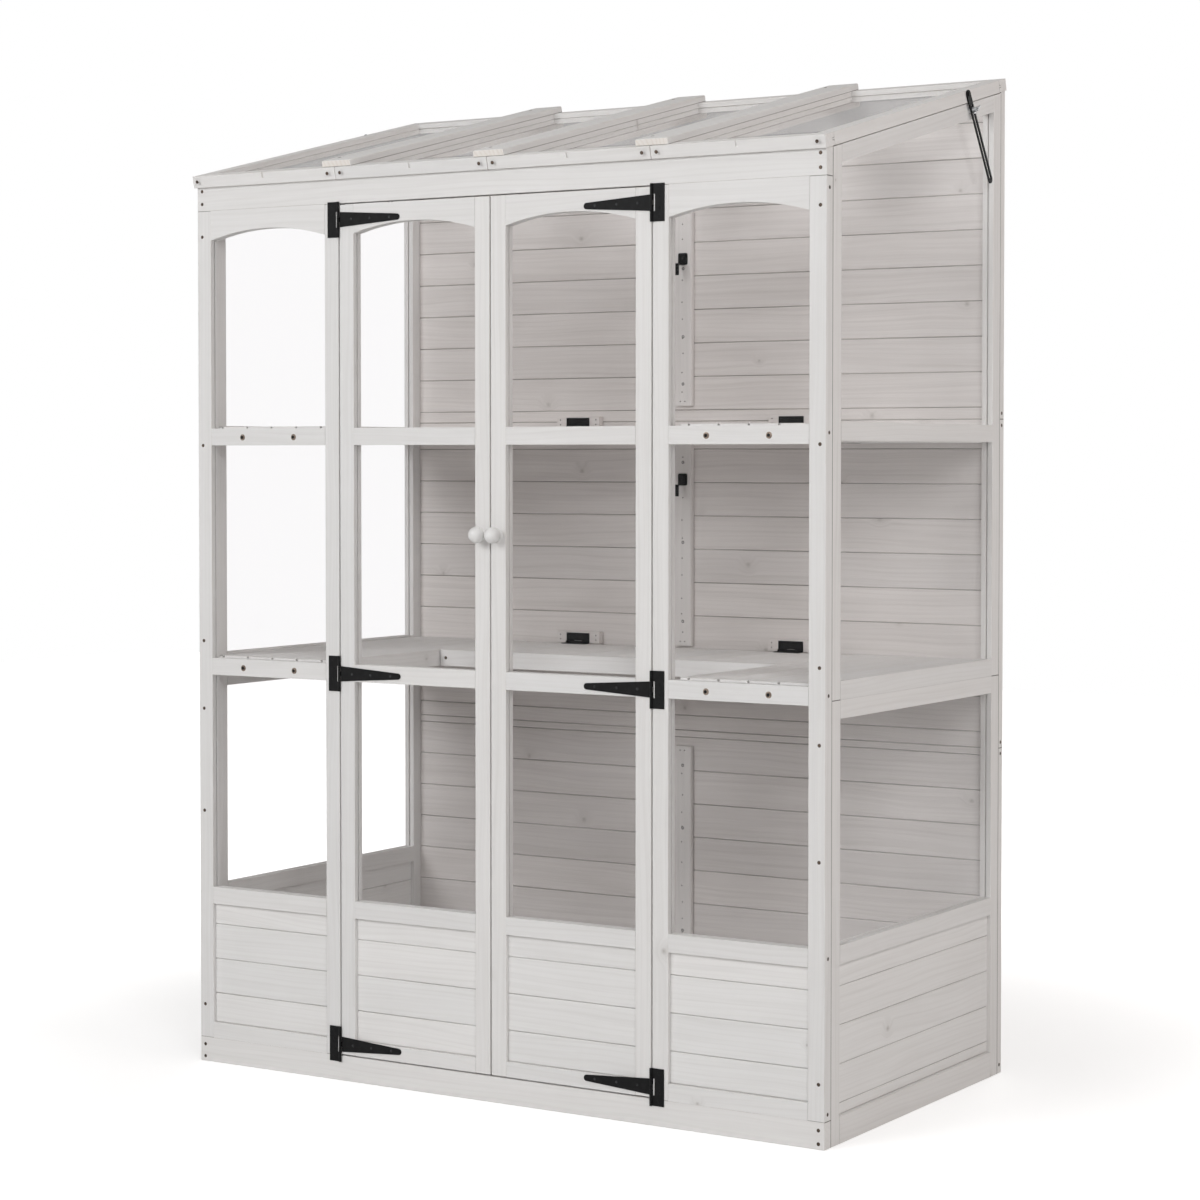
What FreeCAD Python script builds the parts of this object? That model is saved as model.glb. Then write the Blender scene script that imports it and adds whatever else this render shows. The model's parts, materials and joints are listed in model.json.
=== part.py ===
import FreeCAD, Part
import math
import os

os.makedirs("parts", exist_ok=True)

# A wooden lean-to greenhouse: glazed front with two doors, glazed sides, boarded back,
# lifting roof on slotted stays, and two levels of slatted shelves with folding middles.
# X runs along the front, Y from front to back, Z up from the ground. Millimetres.

V = FreeCAD.Vector

# Overall size
WIDTH = 1440.0
DEPTH = 766.0
HEIGHT = 2004.5           # top of the roof's cover battens at the back
ROOF_SLOPE = 13.4         # degrees, rising to the back
BAYS = 4                  # fixed panel, two doors, fixed panel

# Frame stock
PANEL_T = 25.0            # thickness of front, door and side frames
STILE_W = 34.0
RAIL_H = 34.0
SILL_H = 50.0
HEADER_H = 48.0
BOTTOM_RAIL_H = 32.0
ARCH_END_H = 60.0         # arched top rail at its ends
ARCH_MID_H = 40.0         # and at mid span

# Lower edges of the rails, and the seams between stacked panels
GLAZING_RAIL_Z = 326.0
LOWER_MID_Z = 795.0
UPPER_MID_DROP = 524.0    # front's upper mid rail below the eaves
SIDE_MID_RISE = 6.0       # side walls' mid rail above the front's
SIDE_SEAM_Z = 803.0
BACK_SEAM_Z = 656.0
BACK_SEAM_RISE = 52.0     # back's upper seam above the front's upper mid rail

# Sheets, boards and the groove that holds them
PANE_T = 3.0
GROOVE_D = 7.0
PLAY = 0.2                # play of a sheet, tongue or tenon in its groove
BOARD_T = 10.0
BOARD_PITCH = 70.9        # front and side joints lie at multiples of this above the ground
BACK_JOINTS = (74.0, 32.0, 24.0)    # lowest joint above the foot of each back panel
BOARD_CHAMFER = 2.0
NARROWEST_BOARD = 12.0
BACK_FRAME_T = 20.0
BACK_BOARD_T = 8.0
BACK_BATTEN_W = 40.0
BACK_BATTEN_T = 12.0
BATTEN_INSET = 33.0       # batten ends from the panel seams
BATTEN_RISE = 4.0         # middle batten above the lower shelf

# Clearances
SEAT_GAP = 0.3            # between a moving piece and what it rests on
DOOR_GAP = 3.0            # round each door
PIN_PLAY = 0.05           # radial play of a pin in its knuckles
KNUCKLE_GAP = 0.3         # between neighbouring knuckles
SCREW_PLAY = 0.1          # radial play of a turning bolt in its hole

# Roof
ROOF_T = 24.0
ROOF_OVERHANG_SIDE = 4.0
ROOF_OVERHANG_FRONT = 7.0
SASH_GAP = 1.0
COVER_W = 70.0
COVER_T = 13.0
COVER_SETBACK = 8.0       # cover battens start behind the front edge
DRIP_NOTCH_W = 4.0
DRIP_NOTCH_D = 3.0
DRIP_NOTCH_H = 11.0       # down from the rail's top

# Shelves
SHELF_RISE = 4.0          # shelf top above the mid rail it is bolted to
SIDE_SHELF_W = 290.0
APRON_H = 34.0
APRON_T = 18.0
BEARER_T = 20.0
SLAT_T = 10.0
SLAT_GAP = 3.0
SIDE_SLATS = 4
MIDDLE_SLATS = 10
MIDDLE_SIDE_GAP = 2.0     # folding shelf to the side shelves
MIDDLE_REACH = 316.0      # hinge axis to front edge
MIDDLE_BACK_GAP = 4.0     # hinge axis to rear edge
MIDDLE_SIDE_APRON_H = 20.0
CLEAT_W = 16.0
CLEAT_GAP = 2.0           # cleat to the folding shelf's front apron
SHELF_BOLT_R = 2.5
SHELF_BOLT_HEAD_R = 4.5
SHELF_BOLT_HEAD_H = 2.0
SHELF_BOLT_SPACING = 130.0

# Hinges
LEAF_T = 1.6
BARREL_R = 2.6
HINGE_PIN_R = 1.3
BARREL_LIFT = 0.4         # barrel surface above the face its leaf lies on
LEAF_SHOULDER = 0.5       # leaf edge from the barrel surface
BUTT_L = 58.0
BUTT_LEAF_W = 20.0
SHELF_HINGE_X = 262.0
HINGE_BLOCK_W = 109.0
HINGE_BLOCK_H = 25.0
HINGE_BLOCK_T = 15.0
HINGE_BLOCK_RISE = 1.0    # block above the shelf top
ROOF_HINGE_L = 64.0
ROOF_HINGE_LEAF_W = 20.0
STRAP_LOW_Z = (73.0, 810.0)
STRAP_TOP_DROP = 32.0     # top hinge below the header
STRAP_L = 148.0
STRAP_ROOT_H = 30.0
STRAP_TIP_H = 12.0
STRAP_PLATE_H = 70.0
STRAP_PLATE_W = 27.0

# Door knobs
KNOB_Z = 1090.0
KNOB_R = 15.5
KNOB_REACH = 36.0
KNOB_NECK_R = 7.0
KNOB_FOOT_R = 11.0
KNOB_FOOT_H = 4.0

# Turn latches that keep a folded shelf up
LATCH_W = 22.0
LATCH_T = 2.0
LATCH_TAB_H = 25.0
LATCH_CORNER_R = 3.5
LATCH_REACH = 27.0
LATCH_LIP_W = 10.0
LATCH_LIP_H = 23.0
LATCH_CLEAR = 3.0         # lip above the edge of the folded shelf
LATCH_SCREW_R = 2.2
LATCH_SCREW_HEAD_R = 4.5
LATCH_SCREW_HEAD_H = 2.0
LATCH_SCREW_L = 10.0

# Roof stays: slotted bar, pivot on the roof, clamp bolt on the side wall
STAY_BAR_W = 17.0
STAY_BAR_T = 2.5
STAY_SIDE_GAP = 0.5       # bar to the roof's side face
STAY_LENGTH = 195.0       # pivot to lower end
STAY_SLOT_W = 6.4
STAY_SLOT_START = 21.7    # pivot to the slot's upper end
STAY_SLOT_END = 186.0
STAY_PIVOT_BACK = 186.0   # pivot forward of the back face
STAY_PIVOT_UP = 17.0      # pivot above the roof's underside
STAY_LEAN = 33.5          # degrees from upright, foot to the back
STAY_BOLT_AT = 34.0       # pivot to bolt along the bar, roof shut
STAY_BOLT_R = 2.9
STAY_BOLT_HEAD_R = 7.0
STAY_BOLT_HEAD_H = 3.0
STAY_BOLT_TAIL = 5.0      # bolt end past the wing nut
STAY_WASHER_R = 8.0
PIVOT_SCREW_R = 2.5
PIVOT_HEAD_R = 5.0
PIVOT_HEAD_H = 2.2
WING_HUB_R = 5.5
WING_HUB_H = 7.0
WING_SPAN = 15.0
WING_H = 11.0
WING_T = 2.4
WING_TIP_R = 3.5

# Derived values
GROOVE_W = PANE_T + 2 * PLAY
TENON_L = GROOVE_D - PLAY
BARREL_OFF = BARREL_R + BARREL_LIFT
HALF_W = WIDTH / 2
BAY_W = WIDTH / BAYS
SLOPE = math.radians(ROOF_SLOPE)
EAVES_Z = HEIGHT - DEPTH * math.tan(SLOPE) - (ROOF_T + COVER_T) * math.cos(SLOPE)
UPPER_MID_Z = EAVES_Z - UPPER_MID_DROP
SIDE_MID_Z = UPPER_MID_Z + SIDE_MID_RISE
BACK_SEAMS_Z = (BACK_SEAM_Z, UPPER_MID_Z + BACK_SEAM_RISE)
HINGE_PROUD = BARREL_OFF + BARREL_R
FRONT_Y = -(DEPTH + HINGE_PROUD - KNOB_REACH) / 2
BACK_Y = FRONT_Y + DEPTH
INNER_FRONT_Y = FRONT_Y + PANEL_T
INNER_BACK_Y = BACK_Y - BACK_FRAME_T - BACK_BOARD_T
SIDE_LENGTH = DEPTH - PANEL_T - BACK_FRAME_T
HEADER_Z = EAVES_Z - SEAT_GAP - HEADER_H
STRAP_Z = STRAP_LOW_Z + (HEADER_Z - STRAP_TOP_DROP,)
SHELF_TOPS = (LOWER_MID_Z + RAIL_H + SHELF_RISE, UPPER_MID_Z + RAIL_H + SHELF_RISE)
SHELF_OUT_X = HALF_W - PANEL_T
SHELF_IN_X = SHELF_OUT_X - SIDE_SHELF_W
SHELF_AXIS_Y = INNER_BACK_Y - HINGE_BLOCK_T - BARREL_OFF
ROOF_RUN = DEPTH / math.cos(SLOPE)
ROOF_AXIS_Y = BACK_Y + BARREL_OFF


def roof_z(y):
    """Height of the roof's underside at depth y; EAVES_Z is that at the front face."""
    return EAVES_Z + (y - FRONT_Y) * math.tan(SLOPE)


ROOF_AXIS_Z = roof_z(BACK_Y) + BARREL_OFF * math.tan(SLOPE / 2)


# Shape helpers

def block(x0, x1, y0, y1, z0, z1):
    """Square-edged block between two corners."""
    return Part.makeBox(x1 - x0, y1 - y0, z1 - z0, V(x0, y0, z0))


def prism(points, along):
    """Straight extrusion of a closed outline."""
    outline = Part.makePolygon(points + points[:1])
    return Part.Face(outline).extrude(along)


def join(first, others):
    """One solid from pieces that share material."""
    return first.fuse(others).removeSplitter()


def mirrored(solids):
    """The same pieces on the other side of the middle plane."""
    return [solid.mirror(V(0, 0, 0), V(1, 0, 0)) for solid in solids]


def moved(solids, placement):
    """Copies of pieces in another place."""
    return [solid.transformed(placement.toMatrix(), True) for solid in solids]


def save(node, solids):
    """Write one node's solids."""
    Part.makeCompound(solids).exportStep("parts/" + node + ".step")


# Framed panels are drawn in their own plane: u across, z up, t from the outer face inwards

def section(width, low_groove, high_groove, thick):
    """Cross-section of a frame member, as pairs across and through it."""
    near = (thick - GROOVE_W) / 2
    far = (thick + GROOVE_W) / 2
    points = [(0, 0), (width, 0)]
    if high_groove:
        points += [(width, near), (width - GROOVE_D, near), (width - GROOVE_D, far), (width, far)]
    points += [(width, thick), (0, thick)]
    if low_groove:
        points += [(0, far), (GROOVE_D, far), (GROOVE_D, near), (0, near)]
    return points


def tongue_span(thick):
    """Near and far faces of a tongue centred in the thickness."""
    return (thick - PANE_T) / 2, (thick + PANE_T) / 2


def stile(u0, width, z0, z1, low_groove, high_groove, thick=PANEL_T, tenons=False):
    """Upright member, grooved on its edges, with stub tenons on its ends if asked."""
    points = [V(u0 + a, t, z0) for a, t in section(width, low_groove, high_groove, thick)]
    solid = prism(points, V(0, 0, z1 - z0))
    if tenons:
        near, far = tongue_span(thick)
        left = u0 + GROOVE_D * low_groove
        right = u0 + width - GROOVE_D * high_groove
        ends = [block(left, right, near, far, z0 - TENON_L, z0),
                block(left, right, near, far, z1, z1 + TENON_L)]
        solid = join(solid, ends)
    return solid


def rail(u0, u1, z0, height, low_groove, high_groove, thick=PANEL_T, tenons=True):
    """Level member between stiles, with stub tenons that fill their grooves."""
    points = [V(u0, t, z0 + a) for a, t in section(height, low_groove, high_groove, thick)]
    solid = prism(points, V(u1 - u0, 0, 0))
    if tenons:
        near, far = tongue_span(thick)
        bottom = z0 + GROOVE_D * low_groove
        top = z0 + height - GROOVE_D * high_groove
        ends = [block(u0 - TENON_L, u0, near, far, bottom, top),
                block(u1, u1 + TENON_L, near, far, bottom, top)]
        solid = join(solid, ends)
    return solid


def pane(u0, u1, z0, z1, thick=PANEL_T):
    """Clear sheet set into the grooves round an opening."""
    near, far = tongue_span(thick)
    return block(u0 - TENON_L, u1 + TENON_L, near, far, z0 - TENON_L, z1 + TENON_L)


def under_arch(u0, u1, floor, end_z, mid_z):
    """Face in the panel plane below an arch, down to a level floor."""
    arch = Part.Arc(V(u0, 0, end_z), V((u0 + u1) / 2, 0, mid_z), V(u1, 0, end_z)).toShape()
    sides = Part.makePolygon([V(u1, 0, end_z), V(u1, 0, floor), V(u0, 0, floor), V(u0, 0, end_z)])
    return Part.Face(Part.Wire([arch] + sides.Edges))


def arched_rail(u0, u1, top, end_z, mid_z):
    """Top rail with an arched, grooved lower edge."""
    near, far = tongue_span(PANEL_T)
    floor = end_z - RAIL_H
    solid = block(u0, u1, 0, PANEL_T, floor, top)
    solid = solid.cut(under_arch(u0, u1, floor, end_z, mid_z).extrude(V(0, PANEL_T, 0)))
    groove = under_arch(u0, u1, floor, end_z + GROOVE_D, mid_z + GROOVE_D)
    groove = groove.extrude(V(0, GROOVE_W, 0))
    groove.translate(V(0, near - PLAY, 0))
    solid = solid.cut(groove)
    ends = [block(u0 - TENON_L, u0, near, far, end_z + GROOVE_D, top),
            block(u1, u1 + TENON_L, near, far, end_z + GROOVE_D, top)]
    return join(solid, ends)


def arched_pane(u0, u1, z0, end_z, mid_z):
    """Sheet whose top edge follows the arched rail's groove."""
    near, far = tongue_span(PANEL_T)
    body = under_arch(u0, u1, z0 - TENON_L, end_z + TENON_L, mid_z + TENON_L)
    body = body.extrude(V(0, PANE_T, 0))
    body.translate(V(0, near, 0))
    edges = [block(u0 - TENON_L, u0, near, far, z0 - TENON_L, end_z + TENON_L),
             block(u1, u1 + TENON_L, near, far, z0 - TENON_L, end_z + TENON_L)]
    return join(body, edges)


def board(u0, u1, z0, z1, bottom, top, middle, thick, end_tongues):
    """Level board with chamfered faces; its edges are plain, tongued or grooved."""
    near = middle - thick / 2
    far = middle + thick / 2
    half_groove = GROOVE_W / 2
    half_tongue = PANE_T / 2
    c = BOARD_CHAMFER
    points = [(near, z0 + c), (near + c, z0)]
    if bottom == "groove":
        points += [(middle - half_groove, z0), (middle - half_groove, z0 + GROOVE_D),
                   (middle + half_groove, z0 + GROOVE_D), (middle + half_groove, z0)]
    if bottom == "tongue":
        points += [(middle - half_tongue, z0), (middle - half_tongue, z0 - TENON_L),
                   (middle + half_tongue, z0 - TENON_L), (middle + half_tongue, z0)]
    points += [(far - c, z0), (far, z0 + c), (far, z1 - c), (far - c, z1)]
    if top == "tongue":
        points += [(middle + half_tongue, z1), (middle + half_tongue, z1 + TENON_L),
                   (middle - half_tongue, z1 + TENON_L), (middle - half_tongue, z1)]
    points += [(near + c, z1), (near, z1 - c)]
    solid = prism([V(u0, t, z) for t, z in points], V(u1 - u0, 0, 0))
    if end_tongues:
        foot = z0 + GROOVE_D if bottom == "groove" else z0
        ends = [block(u0 - TENON_L, u0, middle - half_tongue, middle + half_tongue, foot, z1),
                block(u1, u1 + TENON_L, middle - half_tongue, middle + half_tongue, foot, z1)]
        solid = join(solid, ends)
    return solid


def board_field(u0, u1, z0, z1, first, edge, middle, thick, end_tongues):
    """Boards that fill an opening, jointed upwards from first; edge is its lowest and highest edge."""
    count = math.ceil((z1 - first) / BOARD_PITCH)
    joints = [first + k * BOARD_PITCH for k in range(count)]
    joints = [z for z in joints if z0 + NARROWEST_BOARD < z < z1 - NARROWEST_BOARD]
    levels = [z0] + joints + [z1]
    boards = []
    for low, high in zip(levels, levels[1:]):
        bottom = edge if low == z0 else "groove"
        top = edge if high == z1 else "tongue"
        boards.append(board(u0, u1, low, high, bottom, top, middle, thick, end_tongues))
    return boards


def front_bay(u0, u1, z0, z1):
    """One bay of the front, fixed or door: frame, boards and panes, outer face at t = 0."""
    left = u0 + STILE_W
    right = u1 - STILE_W
    bottom_top = SILL_H + BOTTOM_RAIL_H
    end_z = HEADER_Z - ARCH_END_H
    mid_z = HEADER_Z - ARCH_MID_H
    mids = (GLAZING_RAIL_Z, LOWER_MID_Z, UPPER_MID_Z)
    frame = [stile(u0, STILE_W, z0, z1, False, True),
             stile(right, STILE_W, z0, z1, True, False),
             rail(left, right, z0, bottom_top - z0, False, True)]
    frame += [rail(left, right, z, RAIL_H, True, True) for z in mids]
    frame.append(arched_rail(left, right, z1, end_z, mid_z))
    boards = board_field(left, right, bottom_top, GLAZING_RAIL_Z, BOARD_PITCH, "tongue",
                         PANEL_T / 2, BOARD_T, True)
    panes = [pane(left, right, GLAZING_RAIL_Z + RAIL_H, LOWER_MID_Z),
             pane(left, right, LOWER_MID_Z + RAIL_H, UPPER_MID_Z),
             arched_pane(left, right, UPPER_MID_Z + RAIL_H, end_z, mid_z)]
    return frame, boards, panes


def above_walls():
    """Everything over the walls' sloping top, just below the roof."""
    low = FRONT_Y - DEPTH
    high = BACK_Y + DEPTH
    ceiling = roof_z(high) + HEIGHT
    points = [V(-WIDTH, low, roof_z(low) - SEAT_GAP), V(-WIDTH, high, roof_z(high) - SEAT_GAP),
              V(-WIDTH, high, ceiling), V(-WIDTH, low, ceiling)]
    return prism(points, V(2 * WIDTH, 0, 0))


ABOVE_WALLS = above_walls()


# Front: sill, header, fixed panels and doors

def front_rails():
    """Full-width sill, and header with its top cut to the roof slope."""
    sill = block(-HALF_W, HALF_W, FRONT_Y, INNER_FRONT_Y, 0, SILL_H)
    header = block(-HALF_W, HALF_W, FRONT_Y, INNER_FRONT_Y, HEADER_Z, roof_z(INNER_FRONT_Y))
    return sill, header.cut(ABOVE_WALLS)


def strap_hinge(axis_x, reach, z):
    """Plate with pin, and strap, of a T hinge on the front face; reach points to the strap's tip."""
    axis = V(axis_x, FRONT_Y - BARREL_OFF, z)
    shoulder = BARREL_R + LEAF_SHOULDER
    half = STRAP_ROOT_H / 2
    third = STRAP_ROOT_H / 6
    outer = [(-half, -third), (third, half)]
    inner = [(-third + KNUCKLE_GAP, third - KNUCKLE_GAP)]
    tip_r = STRAP_TIP_H / 2
    plate_half = STRAP_PLATE_H / 2
    plate = [(-plate_half, shoulder), (plate_half, shoulder),
             (plate_half, STRAP_PLATE_W), (-plate_half, STRAP_PLATE_W)]
    strap = [(-half, shoulder), (half, shoulder), (tip_r, STRAP_L - tip_r), (-tip_r, STRAP_L - tip_r)]
    up = V(0, 0, 1)
    inward = V(0, 1, 0)
    fixed = pinned(hinge_half(axis, up, inward, V(-reach, 0, 0), plate, outer), axis, up, outer)
    moving = bored(hinge_half(axis, up, inward, V(reach, 0, 0), strap, inner), axis, up, inner)
    tip_x = axis_x + reach * (STRAP_L - tip_r)
    tip = Part.makeCylinder(tip_r, LEAF_T, V(tip_x, FRONT_Y - LEAF_T, z), inward)
    return fixed, join(moving, [tip])


def hinge_half(axis, along, normal, out, outline, knuckles):
    """Hinge leaf on a face: outline pairs run along the axis and out from it."""
    def plate(pairs):
        points = [axis + along * a + out * b + normal * (BARREL_OFF - LEAF_T) for a, b in pairs]
        return prism(points, normal * LEAF_T)

    shoulder = BARREL_R + LEAF_SHOULDER
    pieces = []
    for a0, a1 in knuckles:
        pieces.append(plate([(a0, 0), (a1, 0), (a1, shoulder), (a0, shoulder)]))
        pieces.append(barrel(BARREL_R, axis, along, a0, a1))
    return join(plate(outline), pieces)


def barrel(radius, axis, along, a0, a1):
    """Cylinder about a hinge axis between two places on it."""
    return Part.makeCylinder(radius, a1 - a0, axis + along * a0, along)


def pinned(leaf, axis, along, knuckles):
    """Leaf with the pin riveted between its two outer knuckles."""
    return join(leaf, [barrel(HINGE_PIN_R, axis, along, knuckles[0][1], knuckles[1][0])])


def bored(leaf, axis, along, knuckles):
    """Leaf whose middle knuckle turns on the pin."""
    return leaf.cut(barrel(HINGE_PIN_R + PIN_PLAY, axis, along, *knuckles[0]))


def butt_hinge(axis, fixed_face, fixed_out, moving_face, moving_out, length, leaf_w):
    """Fixed leaf with pin, and moving leaf, of a butt hinge along X."""
    along = V(1, 0, 0)
    half = length / 2
    sixth = length / 6
    shoulder = BARREL_R + LEAF_SHOULDER
    outline = [(-half, shoulder), (half, shoulder), (half, leaf_w), (-half, leaf_w)]
    outer = [(-half, -sixth), (sixth, half)]
    inner = [(-sixth + KNUCKLE_GAP, sixth - KNUCKLE_GAP)]
    fixed = hinge_half(axis, along, fixed_face, fixed_out, outline, outer)
    moving = hinge_half(axis, along, moving_face, moving_out, outline, inner)
    return pinned(fixed, axis, along, outer), bored(moving, axis, along, inner)


def knob(x):
    """Turned round knob on a door's meeting stile."""
    centre = KNOB_REACH - KNOB_R
    neck_top = centre - math.sqrt(KNOB_R ** 2 - KNOB_NECK_R ** 2)
    ball = Part.Arc(V(x + KNOB_NECK_R, FRONT_Y - neck_top, KNOB_Z),
                    V(x + KNOB_R, FRONT_Y - centre, KNOB_Z),
                    V(x, FRONT_Y - KNOB_REACH, KNOB_Z)).toShape()
    foot = Part.makePolygon([V(x, FRONT_Y - KNOB_REACH, KNOB_Z), V(x, FRONT_Y, KNOB_Z),
                             V(x + KNOB_FOOT_R, FRONT_Y, KNOB_Z),
                             V(x + KNOB_NECK_R, FRONT_Y - KNOB_FOOT_H, KNOB_Z),
                             V(x + KNOB_NECK_R, FRONT_Y - neck_top, KNOB_Z)])
    profile = Part.Face(Part.Wire([ball] + foot.Edges))
    return profile.revolve(V(x, FRONT_Y, KNOB_Z), V(0, 1, 0), 360)


# Side walls, drawn for the right-hand side with u running from front to back

def slanted(u0, u1, low, high, near, far):
    """Piece between two sloping edges, given as heights at u."""
    points = [V(u0, near, low(u0)), V(u1, near, low(u1)), V(u1, near, high(u1)), V(u0, near, high(u0))]
    return prism(points, V(0, far - near, 0))


def side_wall():
    """Frame, boards and panes of the right-hand wall: two stacked panels under the roof slope."""
    left = STILE_W
    right = SIDE_LENGTH - STILE_W
    near, far = tongue_span(PANEL_T)
    lean = 1 / math.cos(SLOPE)

    def top(u):
        return roof_z(INNER_FRONT_Y + u) - SEAT_GAP

    def rail_foot(u):
        return top(u) - RAIL_H * lean

    def groove_top(u):
        return rail_foot(u) + GROOVE_D * lean

    def pane_top(u):
        return rail_foot(u) + TENON_L * lean

    def pane_foot(u):
        return SIDE_MID_Z + RAIL_H - TENON_L

    place = FreeCAD.Placement(V(HALF_W, INNER_FRONT_Y, 0), FreeCAD.Rotation(V(0, 0, 1), 90))
    lower = [stile(0, STILE_W, 0, SIDE_SEAM_Z, False, True),
             stile(right, STILE_W, 0, SIDE_SEAM_Z, True, False),
             rail(left, right, 0, SILL_H, False, True),
             rail(left, right, GLAZING_RAIL_Z, RAIL_H, True, True),
             rail(left, right, SIDE_SEAM_Z - RAIL_H, RAIL_H, True, False)]
    upper = [stile(0, STILE_W, SIDE_SEAM_Z, top(SIDE_LENGTH), False, True),
             stile(right, STILE_W, SIDE_SEAM_Z, top(SIDE_LENGTH), True, False),
             rail(left, right, SIDE_SEAM_Z, RAIL_H, False, True),
             rail(left, right, SIDE_MID_Z, RAIL_H, True, True)]
    sloped = slanted(left, right, rail_foot, top, 0, PANEL_T)
    sloped = sloped.cut(slanted(left, right, rail_foot, groove_top, near - PLAY, far + PLAY))
    sloped = join(sloped, [slanted(left - TENON_L, left, groove_top, top, near, far),
                           slanted(right, right + TENON_L, groove_top, top, near, far)])
    frame = [solid.cut(ABOVE_WALLS) for solid in moved(lower + upper, place)]
    bolt_hole = Part.makeCylinder(STAY_BOLT_R + SCREW_PLAY, PANEL_T,
                                  V(HALF_W - PANEL_T, STAY_BOLT.y, STAY_BOLT.z), V(1, 0, 0))
    frame.append(moved([sloped], place)[0].cut(bolt_hole))
    boards = board_field(left, right, SILL_H, GLAZING_RAIL_Z, BOARD_PITCH, "tongue",
                         PANEL_T / 2, BOARD_T, True)
    panes = [pane(left, right, GLAZING_RAIL_Z + RAIL_H, SIDE_SEAM_Z - RAIL_H),
             pane(left, right, SIDE_SEAM_Z + RAIL_H, SIDE_MID_Z),
             slanted(left - TENON_L, right + TENON_L, pane_foot, pane_top, near, far)]
    return frame, moved(boards, place), moved(panes, place)


# Back wall: framed panels outside, boards inside, battens down the middle

def back_wall():
    """Frame members, boards and battens of the back."""
    levels = (0,) + BACK_SEAMS_Z + (roof_z(BACK_Y),)
    frame_y = BACK_Y - BACK_FRAME_T
    half_stile = STILE_W / 2
    stile_x = (-HALF_W, -half_stile, HALF_W - STILE_W)
    frame = []
    boards = []
    board_x = SHELF_OUT_X - SEAT_GAP
    for low, high, joint in zip(levels, levels[1:], BACK_JOINTS):
        frame += [block(x, x + STILE_W, frame_y, BACK_Y, low, high) for x in stile_x]
        for x0, x1 in zip(stile_x, stile_x[1:]):
            frame += [block(x0 + STILE_W, x1, frame_y, BACK_Y, z, z + RAIL_H)
                      for z in (low, high - RAIL_H)]
        board_top = min(high, roof_z(INNER_BACK_Y) - SEAT_GAP)
        boards += board_field(-board_x, board_x, low, board_top, low + joint, "plain",
                              INNER_BACK_Y + BACK_BOARD_T / 2, BACK_BOARD_T, False)
    frame = [solid.cut(ABOVE_WALLS) for solid in frame]
    spans = [(RAIL_H, BACK_SEAMS_Z[0] - BATTEN_INSET),
             (SHELF_TOPS[0] + BATTEN_RISE, BACK_SEAMS_Z[1] - BATTEN_INSET),
             (BACK_SEAMS_Z[1] + BATTEN_INSET, roof_z(INNER_BACK_Y) - BATTEN_INSET)]
    half = BACK_BATTEN_W / 2
    front = INNER_BACK_Y - BACK_BATTEN_T
    c = BOARD_CHAMFER
    outline = [(-half, INNER_BACK_Y), (-half, front + c), (-half + c, front),
               (half - c, front), (half, front + c), (half, INNER_BACK_Y)]
    battens = [prism([V(x, y, low) for x, y in outline], V(0, 0, high - low)) for low, high in spans]
    return frame, boards, battens


# Shelves

def slats(x0, x1, y0, y1, top, count):
    """Evenly spaced slats that run from front to back."""
    width = (x1 - x0 - (count + 1) * SLAT_GAP) / count
    starts = [x0 + SLAT_GAP + k * (width + SLAT_GAP) for k in range(count)]
    return [block(x, x + width, y0, y1, top - SLAT_T, top) for x in starts]


def side_shelf(top):
    """Fixed right-hand shelf: aprons, bearers, slats and the cleat for the folding shelf."""
    y0 = INNER_FRONT_Y
    y1 = INNER_BACK_Y
    foot = top - APRON_H
    inner = SHELF_IN_X + APRON_T
    outer = SHELF_OUT_X - APRON_T
    pieces = [block(SHELF_IN_X, inner, y0, y1, foot, top), block(outer, SHELF_OUT_X, y0, y1, foot, top)]
    middle = (y0 + y1 - BEARER_T) / 2
    pieces += [block(inner, outer, y, y + BEARER_T, foot, top - SLAT_T)
               for y in (y0, middle, y1 - BEARER_T)]
    pieces += slats(inner, outer, y0, y1, top, SIDE_SLATS)
    cleat_y = SHELF_AXIS_Y - MIDDLE_REACH + APRON_T + CLEAT_GAP
    pieces.append(block(SHELF_IN_X - CLEAT_W, SHELF_IN_X, cleat_y, SHELF_AXIS_Y - MIDDLE_BACK_GAP,
                        foot, top - MIDDLE_SIDE_APRON_H - SEAT_GAP))
    return pieces


def middle_shelf(top):
    """Folding shelf: frame pieces and slats."""
    x = SHELF_IN_X - MIDDLE_SIDE_GAP
    y0 = SHELF_AXIS_Y - MIDDLE_REACH
    y1 = SHELF_AXIS_Y - MIDDLE_BACK_GAP
    behind = y0 + APRON_T
    side_foot = top - MIDDLE_SIDE_APRON_H
    frame = [block(-x, x, y0, behind, top - APRON_H, top),
             block(-x, -x + APRON_T, behind, y1, side_foot, top),
             block(x - APRON_T, x, behind, y1, side_foot, top)]
    frame += [block(-x + APRON_T, x - APRON_T, y, y + BEARER_T, side_foot, top - SLAT_T)
              for y in (behind, y1 - BEARER_T)]
    return frame, slats(-x + APRON_T, x - APRON_T, behind, y1, top, MIDDLE_SLATS)


def shelf_hinges(top):
    """Wall blocks, wall leaves with pins, and shelf leaves of one folding shelf."""
    front = INNER_BACK_Y - HINGE_BLOCK_T
    foot = top + HINGE_BLOCK_RISE
    half = HINGE_BLOCK_W / 2
    blocks = []
    hinges = []
    for x in (-SHELF_HINGE_X, SHELF_HINGE_X):
        blocks.append(block(x - half, x + half, front, INNER_BACK_Y, foot, foot + HINGE_BLOCK_H))
        axis = V(x, SHELF_AXIS_Y, top + BARREL_OFF)
        hinges.append(butt_hinge(axis, V(0, 1, 0), V(0, 0, 1), V(0, 0, -1), V(0, -1, 0),
                                 BUTT_L, BUTT_LEAF_W))
    wall, shelf = (list(group) for group in zip(*hinges))
    return blocks, wall, shelf


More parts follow.
